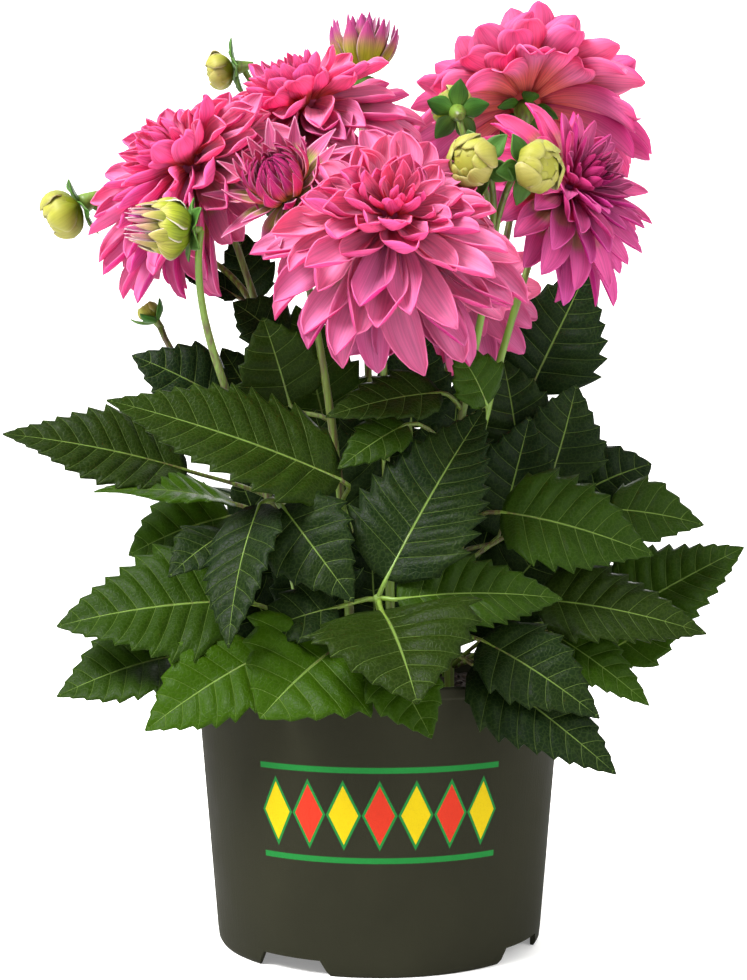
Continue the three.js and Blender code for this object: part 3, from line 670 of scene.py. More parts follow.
def sweep(bm: Mesh, path: Sequence[Vector], radii: Sequence[float], sides: int) -> None:
    """Draws a round stem along a path by extruding a circle from point to point.

    Args:
        bm: The mesh that the stem goes into.
        path: The points that the stem follows.
        radii: The stem's radius at each point.
        sides: The faces round the stem.
    """
    ring = bmesh.ops.create_circle(bm, cap_ends=True, radius=1, segments=sides)["verts"]
    circle = [vert.co.copy() for vert in ring]
    edges = list({edge for face in ring[0].link_faces for edge in face.edges})
    turn = UP.rotation_difference(path[1] - path[0])
    for i, centre in enumerate(path):
        ahead = path[min(i + 1, len(path) - 1)] - path[max(i - 1, 0)]
        turn = (turn @ UP).rotation_difference(ahead) @ turn
        if i:
            made = bmesh.ops.extrude_edge_only(bm, edges=edges)["geom"]
            fresh = {part for part in made if isinstance(part, Vert)}
            edges = [part for part in made if isinstance(part, bmesh.types.BMEdge)]
            edges = [edge for edge in edges if fresh.issuperset(edge.verts)]
            ways = [[edge.other_vert(vert) for edge in vert.link_edges] for vert in ring]
            ring = [next(end for end in ends if end in fresh) for ends in ways]
        for vert, spot in zip(ring, circle, strict=True):
            vert.co = centre + turn @ (spot * radii[i])
    bmesh.ops.contextual_create(bm, geom=edges)
    shell, frontier = set(), list(ring)
    while frontier:
        for face in frontier.pop().link_faces:
            if face not in shell:
                shell.add(face)
                frontier.extend(face.verts)
    for face in shell:
        face.smooth = len(face.verts) == 4
    bmesh.ops.recalc_face_normals(bm, faces=list(shell))


def polyline(bm: Mesh, points: Iterable[Triple]) -> tuple[list[Vert], list[bmesh.types.BMEdge]]:
    """Adds a line through points, and gives its vertices and its edges."""
    verts = [bm.verts.new(point) for point in points]
    return verts, [bm.edges.new(pair) for pair in zip(verts, verts[1:], strict=False)]


def spun(outline: Iterable[Pair], segments: int) -> Mesh:
    """Spins an outline once round the Z axis.

    Args:
        outline: The outline's points, each a radius and a height.
        segments: Faces round the axis.

    Returns:
        The new mesh.
    """
    bm = bmesh.new()
    verts, edges = polyline(bm, [(radius, 0, height) for radius, height in outline])
    turn = {"axis": (0, 0, 1), "cent": (0, 0, 0), "steps": segments, "angle": math.tau}
    bmesh.ops.spin(bm, geom=verts + edges, use_merge=True, **turn)
    bmesh.ops.remove_doubles(bm, verts=bm.verts, dist=0.01)
    return bm


def shade_smooth(bm: Mesh) -> None:
    """Turns every face of a mesh outward and shades it smooth."""
    bmesh.ops.recalc_face_normals(bm, faces=bm.faces)
    for face in bm.faces:
        face.smooth = True


def finish_mesh(name: str, bm: Mesh, materials: Sequence[Material]) -> Piece:
    """Turns a mesh in millimetres into an object in metres, at the origin.

    Args:
        name: The object's name.
        bm: The mesh, which is freed.
        materials: The object's material slots.

    Returns:
        The new object, in the scene.
    """
    bmesh.ops.scale(bm, vec=(METRES,) * 3, verts=bm.verts)
    mesh = bpy.data.meshes.new(name)
    bm.to_mesh(mesh)
    bm.free()
    made = bpy.data.objects.new(name, mesh)
    for look in materials:
        mesh.materials.append(look)
    bpy.context.scene.collection.objects.link(made)
    return made


def thicken(piece: Piece, thickness: float) -> None:
    """Gives a piece's sheets their thickness, with the second material on their lower side.

    Args:
        piece: The piece.
        thickness: The thickness in millimetres.
    """
    wall = piece.modifiers.new("thickness", "SOLIDIFY")
    wall.thickness = thickness * METRES
    wall.offset = 0
    wall.material_offset = 1


def mount(piece: Piece, node: str, slot: str) -> None:
    """Lets a finished piece stand for a node and ride on the part."""
    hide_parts(node)
    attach(piece, "root")
    LOG.info("%s stands for %s, with %d faces", piece.name, node, len(piece.data.polygons))


# Flower heads


@dataclass(frozen=True)
class Tier:
    """One tier of petals. Sizes are shares of the head's radius, and leans are measured from its axis."""

    count: int
    seat: float
    height: float
    lean: Pair
    length: float
    width: float
    cup: float

    def blend(self, other: "Tier", share: float, scale: float) -> "Tier":
        """The tier between this one and another one, at a head's own size.

        Args:
            other: The other tier.
            share: The share of the way to it.
            scale: The head's radius.

        Returns:
            A tier of one petal, in millimetres.
        """
        pairs = zip(self.lean, other.lean, strict=True)
        return Tier(
            1,
            lerp(self.seat, other.seat, share) * scale,
            lerp(self.height, other.height, share) * scale,
            tuple(lerp(a, b, share) for a, b in pairs),
            lerp(self.length, other.length, share) * scale,
            lerp(self.width, other.width, share) * scale,
            lerp(self.cup, other.cup, share),
        )


@dataclass(frozen=True)
class Crown:
    """The build of a kind of head: its tiers from the outermost one in, its core and how loose it is."""

    tiers: tuple[Tier, ...]
    core: Pair
    sag: float = 0.0
    looseness: float = 1.0
    point: float = 0.35
    spoon: float = 0.0


class Form(Enum):
    """The kinds of flower head, from fully open to closed."""

    OPEN = Crown(
        (
            Tier(14, 0.15, 0.0, (98, 136), 0.86, 0.37, 60),
            Tier(17, 0.17, 0.05, (92, 128), 0.93, 0.39, 64),
            Tier(18, 0.18, 0.1, (84, 118), 0.95, 0.4, 66),
            Tier(18, 0.18, 0.15, (74, 106), 0.91, 0.4, 68),
            Tier(17, 0.17, 0.2, (64, 90), 0.82, 0.38, 70),
            Tier(15, 0.15, 0.25, (53, 68), 0.7, 0.34, 70),
            Tier(13, 0.12, 0.3, (45, 52), 0.57, 0.27, 68),
            Tier(12, 0.1, 0.35, (34, 30), 0.48, 0.19, 72),
            Tier(10, 0.06, 0.4, (20, 14), 0.38, 0.12, 76),
        ),
        core=(0.22, 0.42),
        sag=0.15,
        looseness=1.8,
        point=0.14,
        spoon=38,
    )
    POINTED = Crown(
        (
            Tier(9, 0.16, 0.0, (96, 116), 0.92, 0.4, 46),
            Tier(12, 0.18, 0.06, (86, 108), 0.96, 0.38, 50),
            Tier(15, 0.18, 0.12, (76, 98), 0.92, 0.35, 54),
            Tier(16, 0.17, 0.18, (65, 86), 0.82, 0.3, 58),
            Tier(16, 0.15, 0.24, (53, 68), 0.69, 0.26, 62),
            Tier(14, 0.12, 0.29, (42, 44), 0.56, 0.21, 68),
            Tier(12, 0.08, 0.33, (28, 16), 0.46, 0.16, 74),
            Tier(8, 0.05, 0.36, (14, 0), 0.38, 0.11, 78),
        ),
        core=(0.2, 0.36),
        sag=0.1,
        looseness=1.4,
        point=0.42,
        spoon=14,
    )
    SMALL_OPEN = Crown(
        (
            Tier(12, 0.18, 0.0, (92, 116), 0.9, 0.42, 44),
            Tier(12, 0.2, 0.09, (76, 100), 0.9, 0.42, 50),
            Tier(10, 0.19, 0.18, (58, 78), 0.78, 0.38, 56),
            Tier(8, 0.15, 0.26, (42, 36), 0.6, 0.32, 62),
            Tier(6, 0.09, 0.32, (22, -4), 0.46, 0.24, 70),
        ),
        core=(0.22, 0.3),
        sag=0.08,
        looseness=0.8,
        spoon=20,
    )
    HALF_OPEN = Crown(
        (
            Tier(6, 0.26, 0.0, (84, 104), 1.26, 0.42, 40),
            Tier(8, 0.3, 0.06, (72, 66), 1.24, 0.38, 44),
            Tier(12, 0.31, 0.12, (66, -6), 0.98, 0.3, 50),
            Tier(18, 0.3, 0.2, (60, -44), 0.86, 0.25, 56),
            Tier(17, 0.25, 0.28, (52, -62), 0.76, 0.21, 60),
            Tier(13, 0.17, 0.34, (40, -66), 0.66, 0.17, 64),
            Tier(8, 0.08, 0.4, (22, -50), 0.52, 0.13, 68),
        ),
        core=(0.36, 0.6),
        looseness=0.9,
        point=0.85,
    )
    CUPPED = Crown(
        (
            Tier(8, 0.24, 0.0, (64, 0), 1.04, 0.44, 50),
            Tier(9, 0.25, 0.08, (52, -10), 1.04, 0.38, 54),
            Tier(8, 0.18, 0.18, (32, -10), 0.97, 0.32, 58),
            Tier(6, 0.08, 0.26, (12, -8), 0.88, 0.24, 62),
        ),
        core=(0.26, 0.36),
        looseness=0.9,
        point=0.7,
    )
    BULBOUS = Crown(
        (
            Tier(4, 0.2, 0.0, (90, -44), 1.34, 1.2, 34),
            Tier(5, 0.2, 0.04, (84, -44), 1.36, 0.95, 34),
            Tier(9, 0.17, 0.1, (62, -34), 1.62, 0.34, 44),
            Tier(9, 0.11, 0.16, (42, -20), 1.68, 0.24, 50),
            Tier(8, 0.06, 0.2, (20, -4), 1.66, 0.16, 56),
        ),
        core=(0.6, 1.1),
        looseness=0.45,
        point=0.6,
    )
    BUD = Crown(
        (
            Tier(3, 0.4, 0.05, (80, -66), 2.12, 1.9, 46),
            Tier(4, 0.36, 0.08, (78, -74), 2.08, 1.5, 40),
            Tier(4, 0.3, 0.14, (74, -80), 1.98, 1.1, 34),
            Tier(4, 0.22, 0.3, (66, -86), 1.74, 0.8, 30),
        ),
        core=(0.98, 1.6),
        looseness=0.12,
        point=0.3,
    )


@dataclass(frozen=True)
class Bracts:
    """The green leaflets under a head: their leans from the head's axis, their length and their width."""

    lean: Pair
    length: float
    width: float


REFLEXED = Bracts((104, 150), 17, 8)
SPREADING = Bracts((74, 112), 15, 9)
HANGING = Bracts((112, 168), 19, 9)
CLASPING = Bracts((70, 30), 13, 5)


@dataclass(frozen=True)
class Head:
    """A head's place, the way it faces, its radius and its build."""

    at: Triple
    axis: Triple
    radius: float
    form: Form = Form.BUD
    finish: PetalFinish = BUD_SCALES
    slot: str = "buds"
    bracts: Bracts = SPREADING
    yields: dict[str, float] = field(default_factory=dict)
    clearing: float = 24
    clearing_fade: float = 22
    handle: Triple | None = None

    def turn(self) -> Matrix:
        """The rotation from the head's own frame to the part's."""
        return UP.rotation_difference(Vector(self.axis).normalized()).to_matrix()

    def placer(self) -> Callable[[Vector], Vector]:
        """What moves a point from the head's own frame to its place, sagging more further out."""
        turn, centre = self.turn(), Vector(self.at)
        sag = self.form.value.sag / self.radius
        return lambda point: turn @ point + centre - UP * (sag * point.length_squared)

    def room(self, azimuth: float) -> float:
        """The share of its length that a petal keeps beside a crowded neighbour.

        Args:
            azimuth: The way that the petal points, in the head's own frame.

        Returns:
            The share, which is 1 away from every neighbour.
        """
        room = 1.0
        for name, share in self.yields.items():
            way = self.turn().inverted() @ (Vector(HEADS[name].at) - Vector(self.at))
            toward = math.degrees(math.atan2(way.y, way.x))
            apart = abs((azimuth - toward + 540) % 360 - 180)
            clear = smooth(apart, self.clearing, self.clearing + self.clearing_fade)
            room = min(room, lerp(share, 1, clear))
        return room


def bloom(at: Triple, axis: Triple, radius: float, **others: object) -> Head:
    """A head that is an open pink double bloom with bracts that bend back, but for what others says.

    Args:
        at: The head's place.
        axis: The way it faces.
        radius: Its radius.
        others: Fields of the head that differ.

    Returns:
        The head.
    """
    facts = {"form": Form.OPEN, "finish": PINK_PETALS, "slot": "petals", "bracts": REFLEXED}
    return Head(at, axis, radius, **(facts | others))


HEADS = {
    "bloom_front": bloom(
        (4, -66, 352), (0.14, -0.8, 0.56), 58,
        yields={"bloom_half_open": 0.72, "bud_twin_left": 0.8, "bloom_right": 0.82},
    ),
    "bloom_left": bloom(
        (-89.5, -4, 390), (-0.7, -0.46, 0.54), 56.5,
        yields={"bloom_half_open": 0.9, "bloom_back_left": 0.82},
    ),
    "bloom_back_left": bloom(
        (-36, 26, 424.5), (-0.3, -0.34, 0.89), 56, clearing=48,
        yields={"bloom_half_open": 0.9, "bud_top": 0.44, "bloom_left": 0.85},
    ),
    "bloom_top_right": bloom(
        (82, 66, 443.9), (0.1, 0.68, 0.72), 60, yields={"bud_back": 0.9}, handle=(74, 58, 352)
    ),
    "bloom_right": bloom(
        (91, -10, 380.5), (0.7, -0.6, 0.38), 48, form=Form.POINTED, finish=MAGENTA_PETALS,
        yields={"bud_twin_right": 0.85}, handle=(72, -8, 326),
    ),
    "bloom_behind": bloom((46, 28, 336), (0.2, -0.9, 0.2), 38, form=Form.SMALL_OPEN),
    "bloom_half_open": bloom(
        (-45, -50, 375), (-0.34, -0.78, 0.52), 27, form=Form.HALF_OPEN, finish=YOUNG_PETALS,
        slot="young_petals", yields={"bloom_front": 0.8},
    ),
    "bud_top": bloom(
        (-9, 76, 465.6), (0.05, -0.08, 1), 28, form=Form.CUPPED, finish=CUP_PETALS,
        slot="young_petals", bracts=HANGING,
    ),
    "bud_left_front": bloom(
        (-90, -80, 353), (-0.94, -0.3, 0.04), 16.5, form=Form.BULBOUS, finish=STREAKED_PETALS,
        slot="buds", bracts=SPREADING, handle=(-96, -66, 285),
    ),
    "bud_left": Head((-165, 52, 386), (-0.82, -0.1, -0.5), 12, handle=(-132, 78, 366)),
    "bud_upper_left": Head((-84, 92, 472), (-0.95, -0.1, -0.2), 9, handle=(-54, 122, 436)),
    "bud_twin_left": Head((49, -62, 388), (-0.52, -0.84, -0.12), 11),
    "bud_twin_right": Head((71, -62, 385), (0.56, -0.8, -0.1), 11),
    "bud_back": Head((41, 16, 430), (-0.1, 0.9, 0.4), 10),
    "bud_side": Head((-119, 14, 321), (-0.6, -0.15, 0.8), 5, bracts=CLASPING),
}


@dataclass
class Petal:
    """One petal, sepal or bract: a sheet that bends along its length and is cupped across it."""

    row: Tier
    azimuth: float
    tilt: float = 0.0
    roll: float = 0.0
    twist: float = 0.0
    sway: float = 0.0
    spoon: float = 0.0
    point: float = 0.3
    seed: float = 0.0
    across: int = 6
    along: int = 10
    steps: int = 24
    crease: float = 0.04
    ripple: float = 0.07

    def __post_init__(self) -> None:
        """Walks up the petal's middle, whose lean changes evenly but for the spoon at its tip."""
        start, end = (math.radians(lean + self.tilt) for lean in self.row.lean)
        reach, height = self.row.seat, self.row.height
        step = self.row.length / self.steps
        self.path: list[Triple] = []
        for i in range(self.steps + 1):
            v = i / self.steps
            lean = lerp(start, end, v) - math.radians(self.spoon) * smooth(v, 0.5, 1)
            self.path.append((reach, height, lean))
            reach += step * math.sin(lean)
            height += step * math.cos(lean)

    def outline(self, v: float) -> float:
        """The petal's outline.

        Args:
            v: The share of the length.

        Returns:
            Half the width there, as a share of the greatest half width.
        """
        widest = lerp(0.77, 0.4, self.point)
        if v < widest:
            return lerp(0.3, 1.0, math.sin(math.pi / 2 * v / widest) ** 1.15)
        past = (v - widest) / (1 - widest)
        round_tip = math.sqrt(max(0.0, 1 - past**2.2))
        sharp_tip = 1 - past**1.5
        return max(0.03, lerp(round_tip, sharp_tip, self.point))

    def middle(self, v: float) -> Triple:
        """The petal's middle line.

        Args:
            v: The share of the length.

        Returns:
            The reach from the head's axis, the height and the lean there.
        """
        i = min(self.steps - 1, int(v * self.steps))
        share = v * self.steps - i
        return tuple(lerp(a, b, share) for a, b in zip(self.path[i], self.path[i + 1], strict=True))

    def spot(self, u: float, w: float) -> Vector:
        """A point of the petal.

        Args:
            u: The place across, from -1 to 1.
            w: The place along, from 0 to 1.

        Returns:
            The point in the head's own frame.
        """
        v = w * (1.5 - 0.5 * w)
        reach, height, lean = self.middle(v)
        radial = polar(self.azimuth + self.sway * v * v, 1, 0)
        across = Vector((-radial.y, radial.x, 0))
        face = UP * math.sin(lean) - radial * math.cos(lean)
        roll = math.radians(self.roll + self.twist * v)
        across, face = (
            across * math.cos(roll) + face * math.sin(roll),
            face * math.cos(roll) - across * math.sin(roll),
        )
        half = self.row.width / 2 * self.outline(v)
        cup = math.radians(self.row.cup)
        cup *= 1.5 - 0.6 * smooth(v, 0.0, 0.5) + 0.4 * smooth(v, 0.6, 1.0)
        side = half * math.sin(cup * u) / cup
        lift = half * (1 - math.cos(cup * u)) / cup
        lift -= self.crease * self.row.width * math.exp(-((u / 0.16) ** 2)) * math.sin(math.pi * v)
        wave = math.sin(9 * v + 3 * u + 9 * self.seed)
        lift += self.ripple * half * u * u * wave * smooth(v, 0.2, 0.5)
        return radial * reach + UP * height + across * side + face * lift

    def draw(self, bm: Mesh, place: Callable[[Vector], Vector], age: float) -> None:
        """Adds the petal to a mesh.

        Args:
            bm: The mesh.
            place: What moves a point from the head's own frame to its place.
            age: From 0 for the outermost petal to 1 for the innermost one.
        """
        spots = blade_grid(bm, self.across, self.along)
        for vert, (u, w) in spots:
            vert.co = place(self.spot(u, w))
        # The tone varies at random, and drops the more the petal hangs down, which paints shade on hanging
        # petals.
        hang = (place(Vector()) - place(self.spot(0, 0.7))).z / max(1.0, self.row.length)
        tone = 0.62 + 0.7 * jitter(self.seed, 3) - 0.75 * max(0.0, hang)
        map_blade(bm, spots, age=age, tone=tone)


@dataclass
class FlowerHead:
    """A bloom or a bud: petals in a golden spiral round a core, from the outermost tier inwards."""

    name: str
    head: Head
    seed: int
    thickness: float = 0.5
    large_radius: float = 20.0
    crowded_lean: float = 30.0
    turn_spread: float = 7.0
    length_spread: float = 0.14
    tilt_spread: float = 11.0
    roll: float = 5.0
    roll_spread: float = 14.0
    twist_spread: float = 26.0
    sway_spread: float = 16.0

    def petals(self) -> Iterable[tuple[Petal, float]]:
        """Each petal of the head with its age."""
        crown, radius = self.head.form.value, self.head.radius
        tiers, loose = crown.tiers, crown.looseness
        centres, total = [], 0
        for tier in tiers:
            centres.append(total + tier.count / 2)
            total += tier.count
        for i in range(total):
            k = max((j for j, centre in enumerate(centres[:-1]) if centre <= i), default=0)
            span = centres[k + 1] - centres[k]
            share = min(1, max(0, (i - centres[k]) / span))
            row = tiers[k].blend(tiers[k + 1], share, radius)
            azimuth = GOLDEN_ANGLE * i + 40 * self.seed
            azimuth += loose * self.turn_spread * jitter(i, self.seed)
            long = 1 + loose * self.length_spread * jitter(i, self.seed + 2)
            if row.lean[1] > self.crowded_lean:
                long *= self.head.room(azimuth)
            large = radius > self.large_radius
            petal = Petal(
                replace(row, length=row.length * long),
                azimuth,
                tilt=loose * self.tilt_spread * jitter(i, self.seed + 1),
                roll=self.roll + loose * self.roll_spread * jitter(i, self.seed + 4),
                twist=loose * self.twist_spread * jitter(i, self.seed + 5),
                sway=loose * self.sway_spread * jitter(i, self.seed + 6),
                spoon=crown.spoon * (1 + jitter(i, self.seed + 7)) * smooth(i / total, 0.1, 0.4),
                point=lerp(crown.point, max(crown.point, 0.7), smooth(i / total, 0.72, 1)),
                seed=i + 0.37 * self.seed,
                across=8 if large else 6,
                along=11 if large else 10,
            )
            yield petal, i / max(1, total - 1)

    def draw_core(self, bm: Mesh) -> None:
        """Adds the solid middle that the petals' roots are sunk into.

        Args:
            bm: The mesh.
        """
        reach, height = (share * self.head.radius for share in self.head.form.value.core)
        ball = bmesh.ops.create_uvsphere(bm, u_segments=20, v_segments=12, radius=1)["verts"]
        place = self.head.placer()
        spots = []
        for vert in ball:
            x, y, z = vert.co
            spots.append((vert, (0.0, (z + 1) / 3)))
            vert.co = place(Vector((x * reach, y * reach, (z + 0.9) * height / 1.9)))
        map_blade(bm, spots, age=0.8, tone=0.4)

    def build(self, looks: "Looks") -> None:
        """Builds the head's petals and its core, which both stand for its node.

        Args:
            looks: The finishes.
        """
        sheets, core = new_blades(), new_blades()
        place = self.head.placer()
        for petal, age in self.petals():
            petal.draw(sheets, place, age)
        self.draw_core(core)
        finish = looks.petals(self.head.finish)
        petals = finish_mesh(self.name + "_petals", sheets, finish)
        thicken(petals, self.thickness)
        mount(petals, self.name, self.head.slot)
        middle = finish_mesh(self.name + "_core", core, finish[:1])
        mount(middle, self.name, self.head.slot)


# Leafy shoots


class Shade(Enum):
    """The colours that leaves come in, as places on the leaf finish's ramp."""

    DEEP = 0.04
    OLIVE = 0.3
    MIDDLE = 0.6
    BRIGHT = 0.8
    FRESH = 1.0


@dataclass(frozen=True)
class Leaf:
    """A leaf: its midrib's ends, its width, the way its upper side faces, its arch and its colour."""

    base: Triple
    tip: Triple
    width: float
    face: Triple
    arch: float
    shade: Shade = Shade.MIDDLE


def outward(
    azimuth: float, radius: float, height: float, length: float, width: float, rise: float
) -> Leaf:
    """A leaf that points away from the pot's axis.

    Args:
        azimuth: The way it points.
        radius: How far from the axis its stalk ends.
        height: How high its stalk ends.
        length: Its length.
        width: Its width.
        rise: How steeply it rises.

    Returns:
        The leaf.
    """
    level, climb = math.cos(math.radians(rise)), math.sin(math.radians(rise))
    radial = polar(azimuth, 1, 0)
    base = radial * radius + UP * height
    tip = base + radial * (length * level) + UP * (length * climb)
    face = UP * level - radial * climb
    shade = Shade.DEEP if rise > 0 else Shade.MIDDLE
    return Leaf(tuple(base), tuple(tip), width, tuple(face), 0.13 * length, shade)


@dataclass(frozen=True)
class Twig:
    """A side twig: the share of the stem that it leaves at, the joint at its end, and its leaves."""

    start: float
    node: Triple
    leaves: tuple[Leaf, ...]


@dataclass(frozen=True)
class Shoot:
    """A shoot: where it stands in the soil, its heads with the share each leaves at, and its leaves."""

    root: Pair
    heads: tuple[tuple[str, float], ...]
    leaves: tuple[Leaf, ...]
    twigs: tuple[Twig, ...] = ()


DEEP, OLIVE, MIDDLE, BRIGHT, FRESH = Shade
SHOOTS = {
    "shoot_left": Shoot(
        (-34, 4),
        (("bloom_left", 0), ("bud_left", 0.72), ("bud_side", 0.35)),
        (
            Leaf((-99, -5, 240), (-188.8, -30, 258), 52, (-0.1, -0.75, 0.65), 8, OLIVE),
            Leaf((-74, -15, 223), (-141, -42, 229), 44, (0, -0.36, 0.93), 8, FRESH),
            Leaf((-78, 10, 216), (-130, 0, 196), 58, (-0.2, -0.8, 0.55), 8, FRESH),
            Leaf((-100, -40, 148), (-156, -60, 130), 48, (-0.2, -0.75, 0.65), 7, MIDDLE),
            Leaf((-80, -8, 276), (-127, -10, 299), 42, (0, -0.88, 0.5), 6, DEEP),
            Leaf((-75, 18, 332), (-108, 18, 347), 20, (0, -0.7, 0.7), 5, DEEP),
        ),
    ),
    "shoot_left_front": Shoot(
        (-36, -20),
        (("bud_left_front", 0),),
        (
            Leaf((-72, -45, 175), (-156, -60, 164), 66, (-0.15, -0.78, 0.62), 9, MIDDLE),
            Leaf((-74, -62, 209), (-99, -84, 189), 29, (-0.1, -0.8, 0.6), 5, DEEP),
            Leaf((-56, -68, 151), (-110, -84, 117), 50, (-0.1, -0.85, 0.5), 8, FRESH),
        ),
    ),
    "shoot_half_open": Shoot(
        (-14, -30),
        (("bloom_half_open", 0),),
        (
            Leaf((-19, -62, 235), (-128, -85, 272), 60, (0.1, -0.78, 0.62), 9, OLIVE),
            Leaf((-45, -25, 273), (-58, -35, 316), 44, (0, -0.92, 0.4), 7, OLIVE),
            Leaf((-50, -8, 306), (-75, -12, 326), 36, (0.1, -0.85, 0.5), 5, DEEP),
        ),
        (
            Twig(
                0.3,
                (-50, -64, 226),
                (
                    Leaf((-57, -72, 223), (-68, -118, 159), 38, (-0.45, -0.85, 0.2), 10, DEEP),
                    Leaf((-46, -72, 222), (-12, -94, 178), 46, (-0.25, -0.85, 0.45), 8, DEEP),
                ),
            ),
        ),
    ),
    "shoot_front": Shoot(
        (6, -34),
        (("bloom_front", 0),),
        (),
        (
            Twig(
                0.18,
                (-1, -86, 180),
                (
                    Leaf((3, -86, 188), (52, -45, 270), 60, (-0.25, -0.93, 0.25), 10, DEEP),
                    Leaf((8, -90, 179), (87, -72, 178), 48, (0.1, -0.75, 0.65), 9, MIDDLE),
                    Leaf((1, -96, 174), (16, -149.5, 138), 76, (0.02, -0.7, 0.7), 12, OLIVE),
                    Leaf((-20, -86, 175), (-60, -92, 162), 34, (0, -0.8, 0.6), 5, DEEP),
                ),
            ),
            Twig(
                0.13,
                (-6, -88, 152),
                (
                    Leaf((4, -98, 150), (23, -122, 119), 36, (0.1, -0.93, 0.35), 6, BRIGHT),
                    Leaf((-21, -90, 156), (-54, -116, 127), 70, (-0.05, -0.88, 0.48), 9, FRESH),
                ),
            ),
        ),
    ),
    "shoot_twin": Shoot(
        (24, -26),
        (("bud_twin_left", 0), ("bud_twin_right", 0.8)),
        (
            Leaf((53, -40, 272), (35, -45, 302), 34, (0.3, -0.75, 0.6), 6, BRIGHT),
            Leaf((48, -80, 159), (101, -100, 125), 44, (0.15, -0.85, 0.5), 8, DEEP),
            Leaf((44, -84, 148), (108, -104, 100), 48, (0.15, -0.88, 0.45), 8, DEEP),
            Leaf((30, -42, 278), (-26, -64, 265), 32, (0, -0.8, 0.6), 6, OLIVE),
            Leaf((13, -50, 262), (-20, -66, 240), 26, (0.1, -0.8, 0.6), 5, MIDDLE),
        ),
    ),
    "shoot_right": Shoot(
        (36, -8),
        (("bloom_right", 0),),
        (
            Leaf((60, -45, 219), (134, -50, 198), 58, (0, -0.82, 0.58), 9, MIDDLE),
            Leaf((118, -10, 220), (166, -13, 212), 40, (0, -0.8, 0.6), 5, MIDDLE),
            Leaf((120, 8, 160), (190.7, 6, 200), 52, (0, -0.8, 0.6), 5, MIDDLE),
            Leaf((77, -45, 176), (159, -55, 160), 46, (0.05, -0.78, 0.62), 9, OLIVE),
            Leaf((119, 0, 146), (163, 0, 168), 38, (0.1, -0.8, 0.6), 6, BRIGHT),
            Leaf((82, -45, 161), (130, -62, 126), 34, (0.1, -0.8, 0.6), 6, BRIGHT),
            Leaf((62, -2, 206), (78, -2, 268), 52, (0.1, -0.97, 0.25), 6, DEEP),
        ),
    ),
    "shoot_behind": Shoot(
        (16, 8),
        (("bloom_behind", 0),),
        (
            Leaf((18, -4, 196), (27, -6, 268), 44, (0, -0.97, 0.25), 6, DEEP),
            Leaf((40, 6, 152), (60, 8, 220), 50, (0.05, -0.95, 0.3), 6, DEEP),
            Leaf((36, 14, 228), (42, 16, 288), 44, (0.1, -0.95, 0.3), 6, DEEP),
            Leaf((16, -8, 262), (20, -6, 314), 42, (0.05, -0.97, 0.25), 6, DEEP),
            Leaf((60, 4, 168), (92, 0, 206), 50, (0.05, -0.9, 0.4), 6, DEEP),
            Leaf((-4, 10, 236), (4, 12, 292), 44, (0, -0.97, 0.2), 5, DEEP),
        ),
    ),
    "shoot_top_right": Shoot(
        (36, 38),
        (("bloom_top_right", 0), ("bud_back", 0.7)),
        (
            Leaf((90, 12, 235), (105, 22, 286), 46, (0.2, -0.93, 0.3), 7, DEEP),
            Leaf((74, 24, 252), (66, 24, 300), 44, (0.1, -0.97, 0.2), 6, DEEP),
            Leaf((108, 30, 228), (147, 34, 244), 48, (0.1, -0.88, 0.45), 8, DEEP),
            Leaf((83, 50, 285), (115, 48, 352), 58, (0.1, -0.95, 0.3), 8, DEEP),
            Leaf((93, 19, 167), (111, 23, 227), 42, (0.1, -0.95, 0.3), 6, DEEP),
            outward(20, 96, 196, 78, 48, -14),
            outward(44, 84, 232, 80, 50, 6),
            outward(66, 78, 176, 80, 52, -16),
            outward(58, 84, 290, 60, 40, 20),
            outward(38, 100, 158, 66, 46, -24),
        ),
    ),
    "shoot_top": Shoot(
        (-2, 34),
        (("bud_top", 0),),
        (
            Leaf((-12, -2, 204), (-34, -8, 272), 54, (-0.05, -0.97, 0.25), 6, DEEP),
            Leaf((-22, 0, 158), (-52, -6, 206), 50, (-0.05, -0.9, 0.4), 6, DEEP),
            Leaf((-2, 12, 158), (-5, 14, 216), 48, (0, -0.95, 0.3), 6, DEEP),
            Leaf((-28, 17, 262), (-44, 18, 328), 50, (0, -0.98, 0.15), 4, MIDDLE),
            outward(88, 72, 214, 79.7, 54, -4),
            outward(104, 76, 168, 76, 50, -22),
            outward(84, 56, 276, 66, 44, 20),
            outward(112, 62, 250, 71.7, 46, 8),
        ),
    ),
    "shoot_back_left": Shoot(
        (-26, 24),
        (("bloom_back_left", 0), ("bud_upper_left", 0.6)),
        (
            Leaf((-66, 35, 333), (-77, 40, 372), 30, (-0.2, -0.95, 0.2), 6, DEEP),
            Leaf((-50, 28, 176), (-76, 30, 240), 50, (-0.1, -0.95, 0.3), 6, DEEP),
            Leaf((-61, 26, 268), (-84, 27, 306), 36, (-0.1, -0.95, 0.3), 6, DEEP),
            Leaf((-48, 12, 150), (-78, 12, 186), 44, (-0.1, -0.92, 0.35), 6, DEEP),
            outward(134, 80, 220, 84, 52, 2),
            outward(156, 92, 188, 76, 48, -14),
            outward(128, 88, 158, 66, 44, -26),
            outward(146, 66, 282, 66, 42, 16),
            outward(172, 96, 160, 60, 40, -24),
        ),
    ),
}


